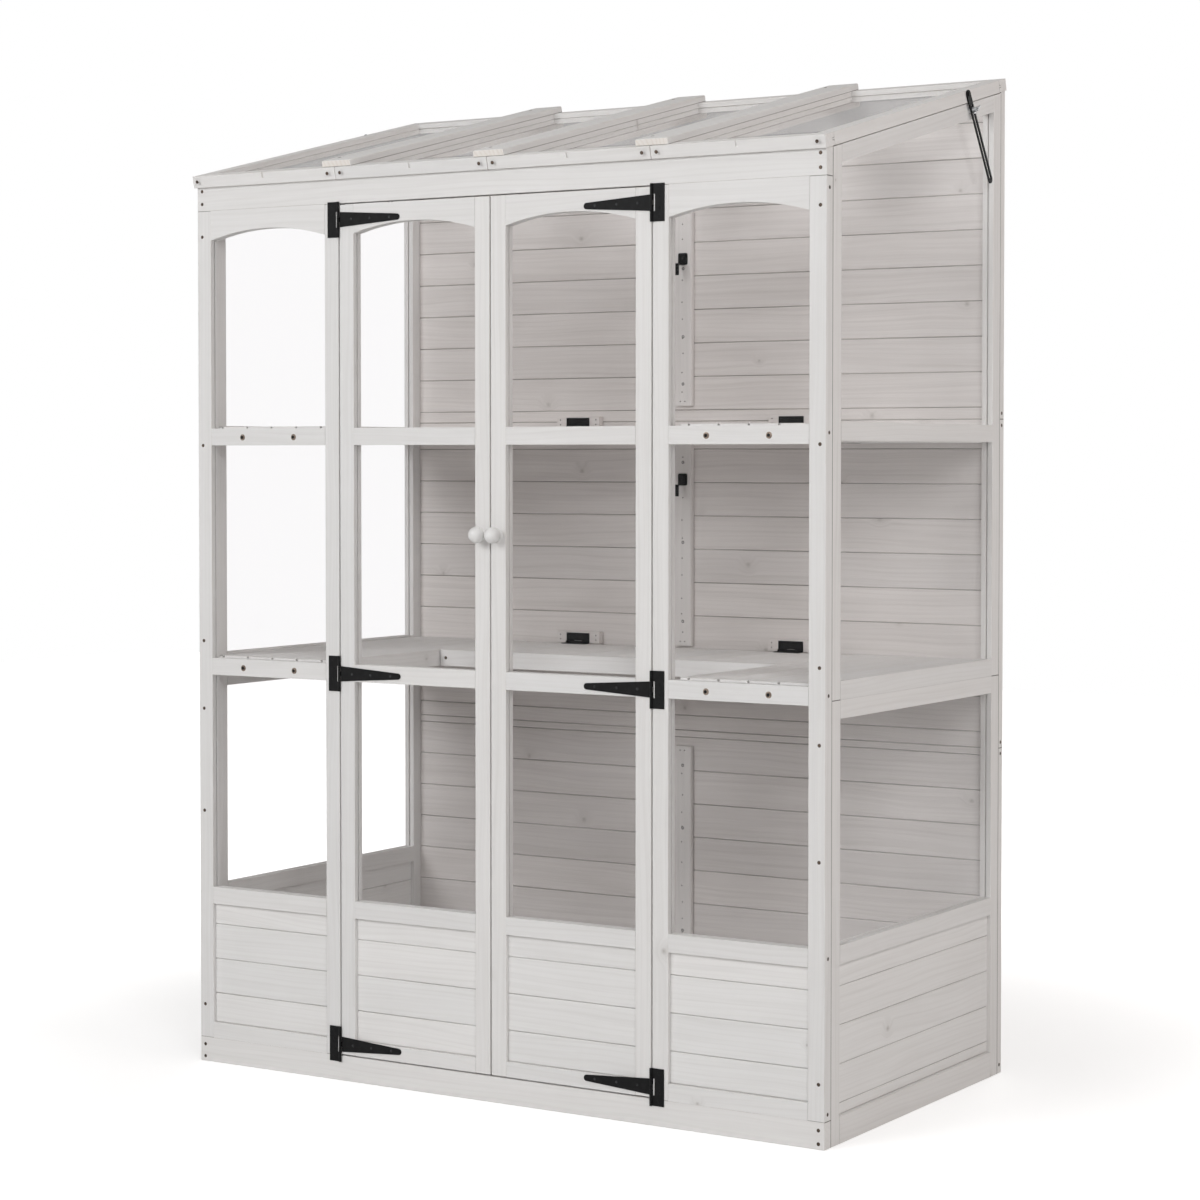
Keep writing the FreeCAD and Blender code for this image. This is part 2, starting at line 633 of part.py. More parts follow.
def shelf_bolts(top):
    """Bolts through the fixed front panels into a shelf level's front bearers."""
    z = top - (APRON_H + SLAT_T) / 2
    bolts = []
    centre = (BAY_W + HALF_W) / 2
    for x in (centre - SHELF_BOLT_SPACING / 2, centre + SHELF_BOLT_SPACING / 2):
        shank = Part.makeCylinder(SHELF_BOLT_R, PANEL_T + BEARER_T, V(x, FRONT_Y, z), V(0, 1, 0))
        head = Part.makeCylinder(SHELF_BOLT_HEAD_R, SHELF_BOLT_HEAD_H, V(x, FRONT_Y, z), V(0, -1, 0))
        bolts.append(join(head, [shank]))
    return bolts


def latch(top):
    """Bent turn latch above a folding shelf, and the screw it turns on."""
    back = INNER_BACK_Y - BACK_BATTEN_T - SEAT_GAP
    front = back - LATCH_T
    tip = back - LATCH_REACH
    ledge = top + BARREL_OFF + MIDDLE_REACH + LATCH_CLEAR + LATCH_LIP_H
    outline = [(back, ledge), (back, ledge + LATCH_T), (tip, ledge + LATCH_T),
               (tip, ledge - LATCH_LIP_H), (tip + LATCH_T, ledge - LATCH_LIP_H), (tip + LATCH_T, ledge)]
    finger = prism([V(-LATCH_LIP_W / 2, y, z) for y, z in outline], V(LATCH_LIP_W, 0, 0))
    tab = block(-LATCH_W / 2, LATCH_W / 2, front, back, ledge, ledge + LATCH_TAB_H)
    corners = [edge for edge in tab.Edges if abs(edge.tangentAt(edge.FirstParameter).y) > 0.5]
    tab = tab.makeFillet(LATCH_CORNER_R, corners)
    z = ledge + (LATCH_TAB_H + LATCH_T) / 2
    hole = Part.makeCylinder(LATCH_SCREW_R + SCREW_PLAY, LATCH_T, V(0, front, z), V(0, 1, 0))
    seat = V(0, front - SEAT_GAP, z)
    head = Part.makeCylinder(LATCH_SCREW_HEAD_R, LATCH_SCREW_HEAD_H, seat, V(0, -1, 0))
    shank = Part.makeCylinder(LATCH_SCREW_R, LATCH_SCREW_L, seat, V(0, 1, 0))
    return join(tab, [finger]).cut(hole), join(head, [shank])


# Roof: four sashes tied by cover battens, drawn flat with z up the slope and t down from the top

def sash(u0, u1):
    """Frame and pane of one roof sash."""
    v0 = -ROOF_OVERHANG_FRONT
    v1 = ROOF_RUN
    inner0 = v0 + STILE_W
    inner1 = v1 - STILE_W
    middle = (u0 + u1) / 2
    front = rail(u0, u1, v0, STILE_W, False, True, ROOF_T, False)
    half_notch = DRIP_NOTCH_W / 2
    notch = block(middle - half_notch, middle + half_notch, 0, DRIP_NOTCH_H, v0, v0 + DRIP_NOTCH_D)
    frame = [front.cut(notch),
             rail(u0, u1, inner1, STILE_W, True, False, ROOF_T, False),
             stile(u0, STILE_W, inner0, inner1, False, True, ROOF_T, True),
             stile(u1 - STILE_W, STILE_W, inner0, inner1, True, False, ROOF_T, True)]
    return frame, pane(u0 + STILE_W, u1 - STILE_W, inner0, inner1, ROOF_T)


def cover_batten(u):
    """Chamfered batten over the joint between two sashes."""
    half = COVER_W / 2
    c = BOARD_CHAMFER
    outline = [(u - half, 0), (u + half, 0), (u + half, c - COVER_T), (u + half - c, -COVER_T),
               (u - half + c, -COVER_T), (u - half, c - COVER_T)]
    start = COVER_SETBACK - ROOF_OVERHANG_FRONT
    return prism([V(a, t, start) for a, t in outline], V(0, 0, ROOF_RUN - start))


def roof():
    """Frames and panes of the sashes, cover battens, and both halves of the hinges."""
    corner = V(0, FRONT_Y - ROOF_T * math.sin(SLOPE), EAVES_Z + ROOF_T * math.cos(SLOPE))
    place = FreeCAD.Placement(corner, FreeCAD.Rotation(V(1, 0, 0), ROOF_SLOPE - 90))
    edge = HALF_W + ROOF_OVERHANG_SIDE
    pitch = 2 * edge / BAYS
    joints = [-edge + k * pitch for k in range(BAYS + 1)]
    frames = []
    panes = []
    hinges = []
    up_slope = V(0, math.cos(SLOPE), math.sin(SLOPE))
    off_slope = V(0, -math.sin(SLOPE), math.cos(SLOPE))
    for left, right in zip(joints, joints[1:]):
        frame, sheet = sash(left + SASH_GAP / 2, right - SASH_GAP / 2)
        frames.append(moved(frame, place))
        panes += moved([sheet], place)
        axis = V((left + right) / 2, ROOF_AXIS_Y, ROOF_AXIS_Z)
        hinges.append(butt_hinge(axis, V(0, -1, 0), V(0, 0, -1), up_slope * -1, off_slope,
                                 ROOF_HINGE_L, ROOF_HINGE_LEAF_W))
    covers = moved([cover_batten(u) for u in joints[1:-1]], place)
    fixed, moving = (list(group) for group in zip(*hinges))
    return frames, panes, covers, fixed, moving


# Roof stay on the right-hand end

STAY_DOWN = V(0, math.sin(math.radians(STAY_LEAN)), -math.cos(math.radians(STAY_LEAN)))
STAY_ACROSS = V(0, math.cos(math.radians(STAY_LEAN)), math.sin(math.radians(STAY_LEAN)))
STAY_PIVOT = V(0, BACK_Y - STAY_PIVOT_BACK, roof_z(BACK_Y - STAY_PIVOT_BACK) + STAY_PIVOT_UP)
STAY_BOLT = STAY_PIVOT + STAY_DOWN * STAY_BOLT_AT
STAY_X = HALF_W + ROOF_OVERHANG_SIDE + STAY_SIDE_GAP


def round_ended(start, end, width):
    """Strip along the stay with round ends centred at start and end."""
    half = STAY_ACROSS * (width / 2)
    tip = STAY_DOWN * (width / 2)
    first = V(STAY_X, STAY_PIVOT.y, STAY_PIVOT.z) + STAY_DOWN * start
    last = V(STAY_X, STAY_PIVOT.y, STAY_PIVOT.z) + STAY_DOWN * end
    edges = [Part.Arc(first - half, first - tip, first + half).toShape(),
             Part.makeLine(first + half, last + half),
             Part.Arc(last + half, last + tip, last - half).toShape(),
             Part.makeLine(last - half, first - half)]
    return Part.Face(Part.Wire(edges)).extrude(V(STAY_BAR_T, 0, 0))


def round_bar(radius, x0, x1, centre):
    """Cylinder along X through a point of the stay's plane."""
    return Part.makeCylinder(radius, x1 - x0, V(x0, centre.y, centre.z), V(1, 0, 0))


def stay_bar():
    """Slotted flat bar, and the screw at its pivot."""
    slot = round_ended(STAY_SLOT_START + STAY_SLOT_W / 2, STAY_SLOT_END - STAY_SLOT_W / 2, STAY_SLOT_W)
    outer = STAY_X + STAY_BAR_T
    bar = round_ended(0, STAY_LENGTH - STAY_BAR_W / 2, STAY_BAR_W).cut(slot)
    bar = bar.cut(round_bar(PIVOT_SCREW_R, STAY_X, outer, STAY_PIVOT))
    shank_start = HALF_W + ROOF_OVERHANG_SIDE + SEAT_GAP
    screw = join(round_bar(PIVOT_SCREW_R, shank_start, outer, STAY_PIVOT),
                 [round_bar(PIVOT_HEAD_R, outer, outer + PIVOT_HEAD_H, STAY_PIVOT)])
    return bar, screw


def wing(direction):
    """One ear of the wing nut, outline in the plane of the bolt's axis."""
    foot = V(STAY_X + STAY_BAR_T + SEAT_GAP, STAY_BOLT.y, STAY_BOLT.z)

    def at(out, rise):
        return foot + direction * out + V(rise, 0, 0)

    root = (STAY_BOLT_R + WING_HUB_R) / 2
    tip_out = WING_SPAN - WING_TIP_R
    tip_rise = WING_H - WING_TIP_R
    slant = WING_TIP_R / math.sqrt(2)
    tip = Part.Arc(at(WING_SPAN, tip_rise), at(tip_out + slant, tip_rise + slant), at(tip_out, WING_H))
    edges = [Part.makeLine(at(root, 0), at(WING_HUB_R, 0)),
             Part.makeLine(at(WING_HUB_R, 0), at(WING_SPAN, tip_rise)),
             tip.toShape(),
             Part.makeLine(at(tip_out, WING_H), at(root, WING_HUB_H)),
             Part.makeLine(at(root, WING_HUB_H), at(root, 0))]
    side = V(1, 0, 0).cross(direction) * WING_T
    plate = Part.Face(Part.Wire(edges)).extrude(side)
    plate.translate(side / -2)
    return plate


def stay_clamp():
    """Bolt with its spacer washer, and the wing nut, at the side wall's sloped rail."""
    inner = HALF_W - PANEL_T - SEAT_GAP
    nut_x = STAY_X + STAY_BAR_T + SEAT_GAP
    nut_end = nut_x + WING_HUB_H
    shank = round_bar(STAY_BOLT_R, inner, nut_end + STAY_BOLT_TAIL, STAY_BOLT)
    bolt = join(round_bar(STAY_BOLT_HEAD_R, inner - STAY_BOLT_HEAD_H, inner, STAY_BOLT), [shank])
    washer = round_bar(STAY_WASHER_R, HALF_W + SEAT_GAP, STAY_X - SEAT_GAP, STAY_BOLT)
    washer = washer.cut(round_bar(STAY_BOLT_R, HALF_W + SEAT_GAP, STAY_X - SEAT_GAP, STAY_BOLT))
    hub = Part.makeCone(WING_HUB_R, (STAY_BOLT_R + WING_HUB_R) / 2, WING_HUB_H,
                        V(nut_x, STAY_BOLT.y, STAY_BOLT.z), V(1, 0, 0))
    nut = join(hub, [wing(STAY_ACROSS), wing(STAY_ACROSS * -1)])
    nut = nut.cut(round_bar(STAY_BOLT_R, nut_x, nut_end + STAY_BOLT_TAIL, STAY_BOLT))
    return bolt, washer, nut


def cut_all(solids, tools):
    """Solids with every tool's shape taken out of those it meets."""
    result = []
    for solid in solids:
        for tool in tools:
            if solid.BoundBox.intersect(tool.BoundBox):
                solid = solid.cut(tool)
        result.append(solid)
    return result


def pair(name, right):
    """Write a right-hand node and its left-hand mirror."""
    save("right_" + name, right)
    save("left_" + name, mirrored(right))


def build():
    """Model every node and write it."""
    sill, header = front_rails()
    save("front_sill", [sill])
    save("front_header", [header])

    to_front = FreeCAD.Placement(V(0, FRONT_Y, 0), FreeCAD.Rotation())
    bolts = shelf_bolts(SHELF_TOPS[0]) + shelf_bolts(SHELF_TOPS[1])
    frame, boards, panes = front_bay(BAY_W + DOOR_GAP / 2, HALF_W, SILL_H, HEADER_Z)
    pair("front_panel_frame", cut_all(moved(frame, to_front), bolts))
    pair("front_panel_boards", moved(boards, to_front))
    pair("front_panel_panes", moved(panes, to_front))
    save("shelf_bolts", bolts + mirrored(bolts))

    half_gap = DOOR_GAP / 2
    frame, boards, panes = front_bay(half_gap, BAY_W - half_gap, SILL_H + DOOR_GAP, HEADER_Z - DOOR_GAP)
    pair("door_frame", moved(frame, to_front))
    pair("door_boards", moved(boards, to_front))
    pair("door_panes", moved(panes, to_front))
    pair("door_knob", [knob((DOOR_GAP + STILE_W) / 2)])
    plates, straps = zip(*[strap_hinge(BAY_W, -1, z) for z in STRAP_Z])
    pair("door_hinge_plates", list(plates))
    pair("door_hinge_straps", list(straps))

    frame, boards, panes = side_wall()
    pair("side_frame", frame)
    pair("side_boards", boards)
    pair("side_panes", panes)

    frame, boards, battens = back_wall()
    save("back_frame", frame)
    save("back_boards", boards)

    wall_leaves = []
    blocks = []
    screws = []
    for level, top in zip(("lower", "upper"), SHELF_TOPS):
        pair(level + "_side_shelf", cut_all(side_shelf(top), bolts))
        frame, boards = middle_shelf(top)
        save(level + "_middle_shelf_frame", frame)
        save(level + "_middle_shelf_slats", boards)
        level_blocks, wall, shelf = shelf_hinges(top)
        save(level + "_middle_shelf_hinge_leaves", shelf)
        blocks += level_blocks
        wall_leaves += wall
        turn, screw = latch(top)
        save(level + "_latch", [turn])
        screws.append(screw)
    save("shelf_hinge_blocks", blocks)
    save("shelf_hinge_wall_leaves", wall_leaves)
    save("latch_screws", screws)
    save("back_battens", cut_all(battens, screws))

    frames, panes, covers, fixed, moving = roof()
    for number, frame in enumerate(frames, 1):
        save("roof_sash_%d_frame" % number, frame)
    save("roof_panes", panes)
    save("roof_cover_battens", covers)
    save("roof_hinge_back_leaves", fixed)
    save("roof_hinge_sash_leaves", moving)

    bar, screw = stay_bar()
    bolt, washer, nut = stay_clamp()
    pair("stay_bar", [bar, screw])
    pair("stay_bolt", [bolt, washer])
    pair("stay_wing_nut", [nut])


build()
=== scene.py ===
"""Looks of a white-stained wooden lean-to greenhouse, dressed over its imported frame."""
import json
import logging
import math
import random
from dataclasses import dataclass, field
from enum import Enum
from typing import Callable, Iterable, Sequence

import bmesh
import bpy
from mathutils import Matrix, Vector

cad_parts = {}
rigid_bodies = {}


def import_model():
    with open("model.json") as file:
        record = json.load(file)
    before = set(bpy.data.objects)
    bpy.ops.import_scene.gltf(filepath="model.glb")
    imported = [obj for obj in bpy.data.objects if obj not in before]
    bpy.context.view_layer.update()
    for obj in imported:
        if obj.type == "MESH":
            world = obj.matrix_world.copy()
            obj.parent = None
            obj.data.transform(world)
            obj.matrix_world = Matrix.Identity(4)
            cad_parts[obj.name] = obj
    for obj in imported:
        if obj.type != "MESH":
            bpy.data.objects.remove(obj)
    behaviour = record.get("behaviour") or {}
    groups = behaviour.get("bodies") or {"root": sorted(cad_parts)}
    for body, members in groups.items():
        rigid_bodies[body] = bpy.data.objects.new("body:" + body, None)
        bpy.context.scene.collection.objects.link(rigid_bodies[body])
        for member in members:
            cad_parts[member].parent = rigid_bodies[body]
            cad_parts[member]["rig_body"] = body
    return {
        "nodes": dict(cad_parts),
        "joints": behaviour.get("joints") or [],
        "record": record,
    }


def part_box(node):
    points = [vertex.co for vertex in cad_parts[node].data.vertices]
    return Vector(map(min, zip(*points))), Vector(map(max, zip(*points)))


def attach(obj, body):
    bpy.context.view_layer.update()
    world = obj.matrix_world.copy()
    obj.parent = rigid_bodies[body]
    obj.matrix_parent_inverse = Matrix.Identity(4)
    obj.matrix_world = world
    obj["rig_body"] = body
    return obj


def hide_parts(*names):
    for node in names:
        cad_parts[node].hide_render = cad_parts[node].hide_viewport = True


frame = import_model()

log = logging.getLogger("greenhouse")

MM = 0.001
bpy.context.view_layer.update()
ROOF_SLOPE = math.radians(13.4)
UP = Vector((0.0, 0.0, 1.0))
FRONT = Vector((0.0, -1.0, 0.0))
RIGHT = Vector((1.0, 0.0, 0.0))
UP_SLOPE = Vector((0.0, math.cos(ROOF_SLOPE), math.sin(ROOF_SLOPE)))
OFF_SLOPE = Vector((0.0, -math.sin(ROOF_SLOPE), math.cos(ROOF_SLOPE)))

GRAIN_AT = "grain_at"
BOARD_TONE = "board_tone"
ARRIS = "arris"
# CREVICE and SEAM mark where the white stain paints shade into joints and along seams.
CREVICE = "crevice"
SEAM = "seam"

Socket = bpy.types.NodeSocket
Node = bpy.types.Node
Material = bpy.types.Material
Piece = bpy.types.Object
Solid = bmesh.types.BMesh
Colour = tuple[float, float, float, float]
Triple = tuple[float, float, float]
Span = tuple[float, float]

WHITE: Colour = (1.0, 1.0, 1.0, 1.0)

# Relief of the grain at its lowest, in a ring, and at its highest, on a fibre.
RELIEF_RANGE: Span = (-0.5, 0.8)

# Sockets of a Mix node that mixes colours.
MIX_FACTOR, MIX_FIRST, MIX_SECOND = 0, 6, 7
MIX_RESULT = 2


class Slot(Enum):
    """Material slots of the record."""

    WOOD = "white_wood"
    BLACK = "black_metal"
    ZINC = "zinc_steel"


class Drive(Enum):
    """Recess in a screw's head."""

    CROSS = "cross"
    NONE = "none"


class Side(Enum):
    """Which end of the house a piece is on."""

    LEFT = -1
    RIGHT = 1

    @property
    def word(self) -> str:
        """Name as node names spell it."""
        return self.name.lower()


# Node trees


class NodeBench:
    """A node tree with short calls to place nodes and wire them."""

    def __init__(self, tree: bpy.types.NodeTree) -> None:
        """Takes over a tree, which the nodes go into."""
        self.tree = tree

    def node(self, kind: str, **settings: object) -> Node:
        """Adds a node.

        Args:
            kind: Blender's identifier of the node type.
            settings: Properties of the node to set.

        Returns:
            The new node.
        """
        made = self.tree.nodes.new(kind)
        for name, value in settings.items():
            setattr(made, name, value)
        return made

    def feed(self, socket: Socket, value: object) -> None:
        """Links a socket into another one, or sets a constant on it.

        Args:
            socket: Input of a node.
            value: Socket to link from, or the constant.
        """
        if isinstance(value, Socket):
            self.tree.links.new(value, socket)
        else:
            socket.default_value = value

    def wire(self, node: Node, **values: object) -> Node:
        """Feeds inputs of a node.

        Args:
            node: The node.
            values: Sockets or constants by the input's name, with _ for a space.

        Returns:
            The same node.
        """
        for label, value in values.items():
            self.feed(node.inputs[label.replace("_", " ")], value)
        return node

    def math(self, operation: str, *values: object) -> Socket:
        """Adds a Math node.

        Args:
            operation: Blender's identifier of the operation.
            values: Sockets or numbers to work on, in order.

        Returns:
            The result.
        """
        made = self.node("ShaderNodeMath", operation=operation)
        for socket, value in zip(made.inputs, values):
            self.feed(socket, value)
        return made.outputs[0]

    def times(self, first: object, second: object) -> Socket:
        """Multiplies two values."""
        return self.math("MULTIPLY", first, second)

    def plus(self, first: object, second: object) -> Socket:
        """Adds two values."""
        return self.math("ADD", first, second)

    def ramp(self, value: object, low: float, high: float, start: float = 0.0, end: float = 1.0) -> Socket:
        """Eases a value from start to end as it goes from low to high.

        Args:
            value: Socket or number to ease.
            low: Value that gives start.
            high: Value that gives end.
            start: Result at low and before it.
            end: Result at high and beyond it.

        Returns:
            The eased value.
        """
        made = self.node("ShaderNodeMapRange", interpolation_type="SMOOTHSTEP")
        self.wire(made, Value=value, From_Min=low, From_Max=high, To_Min=start, To_Max=end)
        return made.outputs["Result"]

    def blend(self, factor: object, first: object, second: object) -> Socket:
        """Mixes two colours.

        Args:
            factor: Share of the second colour.
            first: Socket or colour.
            second: Socket or colour.

        Returns:
            The mixed colour.
        """
        made = self.node("ShaderNodeMix", data_type="RGBA")
        self.feed(made.inputs[MIX_FACTOR], factor)
        self.feed(made.inputs[MIX_FIRST], first)
        self.feed(made.inputs[MIX_SECOND], second)
        return made.outputs[MIX_RESULT]

    def noise(self, at: Socket, scale: object = 1.0, detail: float = 2.0, roughness: float = 0.5) -> Socket:
        """Adds a noise texture.

        Args:
            at: Texture coordinates.
            scale: Socket or number that the coordinates are multiplied by.
            detail: Layers of finer noise.
            roughness: Strength of each finer layer.

        Returns:
            The noise, from 0 to 1.
        """
        made = self.node("ShaderNodeTexNoise")
        self.wire(made, Vector=at, Scale=scale, Detail=detail, Roughness=roughness)
        return made.outputs["Fac"]

    def stretched(self, at: Socket, scale: Triple) -> Socket:
        """Scales texture coordinates along each axis.

        Args:
            at: Texture coordinates.
            scale: Factor along each axis.

        Returns:
            The scaled coordinates.
        """
        made = self.node("ShaderNodeVectorMath", operation="MULTIPLY")
        self.feed(made.inputs[0], at)
        self.feed(made.inputs[1], scale)
        return made.outputs[0]

    def attribute(self, name: str, output: str) -> Socket:
        """Reads an attribute of the mesh."""
        return self.node("ShaderNodeAttribute", attribute_name=name).outputs[output]

    def own_space(self) -> Socket:
        """Coordinates of the object itself, in metres."""
        return self.node("ShaderNodeTexCoord").outputs["Object"]


class EffectGroup:
    """A shader node group with named inputs and outputs, built once."""

    def __init__(self, name: str, inputs: Sequence[tuple[str, str, float]], outputs: Sequence[str]) -> None:
        """Makes the group's interface.

        Args:
            name: Name of the group.
            inputs: Name, socket type and default of each input.
            outputs: Names of the float outputs.
        """
        self.tree = bpy.data.node_groups.new(name, "ShaderNodeTree")
        for label, kind, default in inputs:
            socket = self.tree.interface.new_socket(label, in_out="INPUT", socket_type=kind)
            if kind == "NodeSocketFloat":
                socket.default_value = default
        for label in outputs:
            self.tree.interface.new_socket(label, in_out="OUTPUT", socket_type="NodeSocketFloat")
        self.bench = NodeBench(self.tree)
        self.source = self.bench.node("NodeGroupInput")
        self.sink = self.bench.node("NodeGroupOutput")

    def given(self, label: str) -> Socket:
        """An input of the group, seen from inside."""
        return self.source.outputs[label]

    def put(self, label: str, value: Socket) -> None:
        """Wires a result to an output of the group."""
        self.bench.feed(self.sink.inputs[label], value)

    def place(self, bench: NodeBench, **values: object) -> Node:
        """Puts the group into a material, with its inputs as wire takes them."""
        return bench.wire(bench.node("ShaderNodeGroup", node_tree=self.tree), **values)


@dataclass(frozen=True)
class SawnGrain:
    """Grain, knots and relief of sawn softwood, along the first texture axis.

    Each scale is along, across and through the timber.
    """

    knot_share: float = 0.25
    knot_cells: Triple = (6.3, 6.8, 0.0)
    knot_sizes: Span = (0.022, 0.048)
    knot_edge: Triple = (90.0, 90.0, 90.0)
    knot_wobble: float = 0.5
    knot_rim: Span = (0.7, 1.35)
    knot_heart: Span = (0.35, 0.7)
    knot_halo: Span = (0.9, 4.5)
    heart_share: float = 0.5
    knot_bend: float = 0.016
    knot_relief: float = 0.9
    sway_scale: Triple = (1.6, 5.0, 5.0)
    sway: float = 0.05
    ring_slant: float = 0.45
    ring_rate: float = 620.0
    ring_range: Span = (0.05, 1.0)
    drift_scale: Triple = (0.9, 16.0, 16.0)
    drift_detail: float = 3.0
    drift: float = 16.0
    streak_scale: Triple = (2.2, 95.0, 95.0)
    streak_detail: float = 4.0
    streak_roughness: float = 0.62
    streak_range: Span = (0.38, 0.72)
    fibre_scale: Triple = (22.0, 1100.0, 1100.0)
    cloud_scale: Triple = (4.0, 13.0, 13.0)
    cloud_detail: float = 3.0
    cloud_range: Span = (0.32, 0.7)

    def group(self) -> EffectGroup:
        """Builds the node group.

        Returns:
            A group with Streak, Ring, Cloud, Knot, Halo and Relief outputs.
        """
        group = EffectGroup("timber grain",
                            [("At", "NodeSocketVector", 0.0),
                             ("Knots", "NodeSocketFloat", self.knot_share)],
                            ["Streak", "Ring", "Cloud", "Knot", "Halo", "Relief"])
        bench = group.bench
        at = group.given("At")
        knot, halo = self.knots(bench, at, group.given("Knots"))
        parts = bench.node("ShaderNodeSeparateXYZ")
        bench.feed(parts.inputs[0], at)
        along, wide, deep = parts.outputs
        across = self.bent(bench, at, wide, halo)
        ring = self.rings(bench, at, across, deep)
        joined = bench.node("ShaderNodeCombineXYZ")
        for socket, value in zip(joined.inputs, (along, across, deep)):
            bench.feed(socket, value)
        streak = bench.noise(bench.stretched(joined.outputs[0], self.streak_scale),
                             detail=self.streak_detail, roughness=self.streak_roughness)
        fibre = bench.noise(bench.stretched(joined.outputs[0], self.fibre_scale))
        cloud = bench.noise(bench.stretched(at, self.cloud_scale), detail=self.cloud_detail)
        in_ring, on_fibre = RELIEF_RANGE
        relief = bench.times(ring, in_ring)
        relief = bench.plus(relief, bench.times(fibre, on_fibre))
        relief = bench.math("SUBTRACT", relief, bench.times(knot, self.knot_relief))
        group.put("Streak", bench.ramp(streak, *self.streak_range))
        group.put("Ring", ring)
        group.put("Cloud", bench.ramp(cloud, *self.cloud_range))
        group.put("Knot", knot)
        group.put("Halo", halo)
        group.put("Relief", relief)
        return group

    def knots(self, bench: NodeBench, at: Socket, share: Socket) -> tuple[Socket, Socket]:
        """Scatters knots over the timber.

        Args:
            bench: The group's node tree.
            at: Texture coordinates.
            share: Share of the cells that hold a knot.

        Returns:
            The knots, and the halos round them.
        """
        cell = bench.node("ShaderNodeTexVoronoi", voronoi_dimensions="2D", feature="F1")
        bench.wire(cell, Vector=bench.stretched(at, self.knot_cells), Scale=1.0)
        tint = bench.node("ShaderNodeSeparateColor")
        bench.feed(tint.inputs[0], cell.outputs["Color"])
        rare = bench.math("LESS_THAN", tint.outputs[0], share)
        size = bench.ramp(tint.outputs[1], 0.0, 1.0, *self.knot_sizes)
        reach = bench.math("DIVIDE", cell.outputs["Distance"], size)
        wobble = bench.noise(bench.stretched(at, self.knot_edge))
        reach = bench.plus(reach, bench.times(wobble, self.knot_wobble))
        rim = bench.ramp(reach, *self.knot_rim, 1.0 - self.heart_share, 0.0)
        heart = bench.ramp(reach, *self.knot_heart, self.heart_share, 0.0)
        knot = bench.times(rare, bench.plus(rim, heart))
        halo = bench.times(rare, bench.ramp(reach, *self.knot_halo, 1.0, 0.0))
        return knot, halo

    def bent(self, bench: NodeBench, at: Socket, wide: Socket, halo: Socket) -> Socket:
        """Lets the grain sway, and bend round the knots.

        Args:
            bench: The group's node tree.
            at: Texture coordinates.
            wide: Place across the timber.
            halo: Halos of the knots.

        Returns:
            Place across the grain.
        """
        sway = bench.noise(bench.stretched(at, self.sway_scale))
        across = bench.plus(wide, bench.times(sway, self.sway))
        return bench.plus(across, bench.times(halo, self.knot_bend))

    def rings(self, bench: NodeBench, at: Socket, across: Socket, deep: Socket) -> Socket:
        """Cuts the growth rings at a slant.

        Args:
            bench: The group's node tree.
            at: Texture coordinates.
            across: Place across the grain.
            deep: Place through the timber.

        Returns:
            How dark each ring is, from 0 to 1.
        """
        depth = bench.plus(across, bench.times(deep, self.ring_slant))
        phase = bench.times(depth, self.ring_rate)
        drift = bench.noise(bench.stretched(at, self.drift_scale), detail=self.drift_detail)
        phase = bench.plus(phase, bench.times(drift, self.drift))
        return bench.ramp(bench.math("SINE", phase), *self.ring_range)


@dataclass(frozen=True)
class SurfaceSpeckle:
    """Fine mottle and grit of a coated or plated surface."""

    mottle_scale: float = 60.0
    grit_scale: float = 1500.0
    detail: float = 3.0
    mottle_range: Span = (0.3, 0.7)
    grit_range: Span = (0.35, 0.7)

    def group(self) -> EffectGroup:
        """Builds the node group.

        Returns:
            A group with Mottle, Grit and Relief outputs.
        """
        group = EffectGroup("surface speckle",
                            [("At", "NodeSocketVector", 0.0),
                             ("Mottle Scale", "NodeSocketFloat", self.mottle_scale),
                             ("Grit Scale", "NodeSocketFloat", self.grit_scale)],
                            ["Mottle", "Grit", "Relief"])
        bench = group.bench
        mottle = bench.noise(group.given("At"), group.given("Mottle Scale"), self.detail)
        grit = bench.noise(group.given("At"), group.given("Grit Scale"), self.detail)
        group.put("Mottle", bench.ramp(mottle, *self.mottle_range))
        group.put("Grit", bench.ramp(grit, *self.grit_range))
        group.put("Relief", bench.plus(grit, mottle))
        return group


@dataclass(frozen=True)
class BareArris:
    """Patchy wear that follows the rounded edges of a piece."""

    patch_scale: float = 30.0
    detail: float = 4.0
    patch_range: Span = (0.42, 0.66)

    def group(self) -> EffectGroup:
        """Builds the node group.

        Returns:
            A group with a Wear output.
        """
        group = EffectGroup("bare arris",
                            [("At", "NodeSocketVector", 0.0), ("Edge", "NodeSocketFloat", 0.0),
                             ("Patch Scale", "NodeSocketFloat", self.patch_scale)],
                            ["Wear"])
        bench = group.bench
        patch = bench.noise(group.given("At"), group.given("Patch Scale"), self.detail)
        worn = bench.ramp(patch, *self.patch_range)
        group.put("Wear", bench.times(worn, group.given("Edge")))
        return group


@dataclass
class Effects:
    """The node groups that several finishes share."""

    grain: EffectGroup = field(default_factory=lambda: SawnGrain().group())
    speckle: EffectGroup = field(default_factory=lambda: SurfaceSpeckle().group())
    arris: EffectGroup = field(default_factory=lambda: BareArris().group())


def new_material(name: str) -> tuple[Material, NodeBench, Node]:
    """Starts a material.

    Args:
        name: Name of the material.

    Returns:
        The material, its bench and its Principled shader.
    """
    material = bpy.data.materials.new(name)
    material.use_nodes = True
    bench = NodeBench(material.node_tree)
    return material, bench, material.node_tree.nodes["Principled BSDF"]


def roughen(bench: NodeBench, shader: Node, height: Socket, strength: float, distance: float) -> None:
    """Feeds a height into a shader's Normal through a Bump node.

    Args:
        bench: The material's node tree.
        shader: The Principled shader.
        height: Relief of the surface.
        strength: Strength of the bump.
        distance: Depth of the relief in metres.
    """
    bump = bench.wire(bench.node("ShaderNodeBump"), Strength=strength, Distance=distance, Height=height)
    bench.wire(shader, Normal=bump.outputs["Normal"])


# Finishes


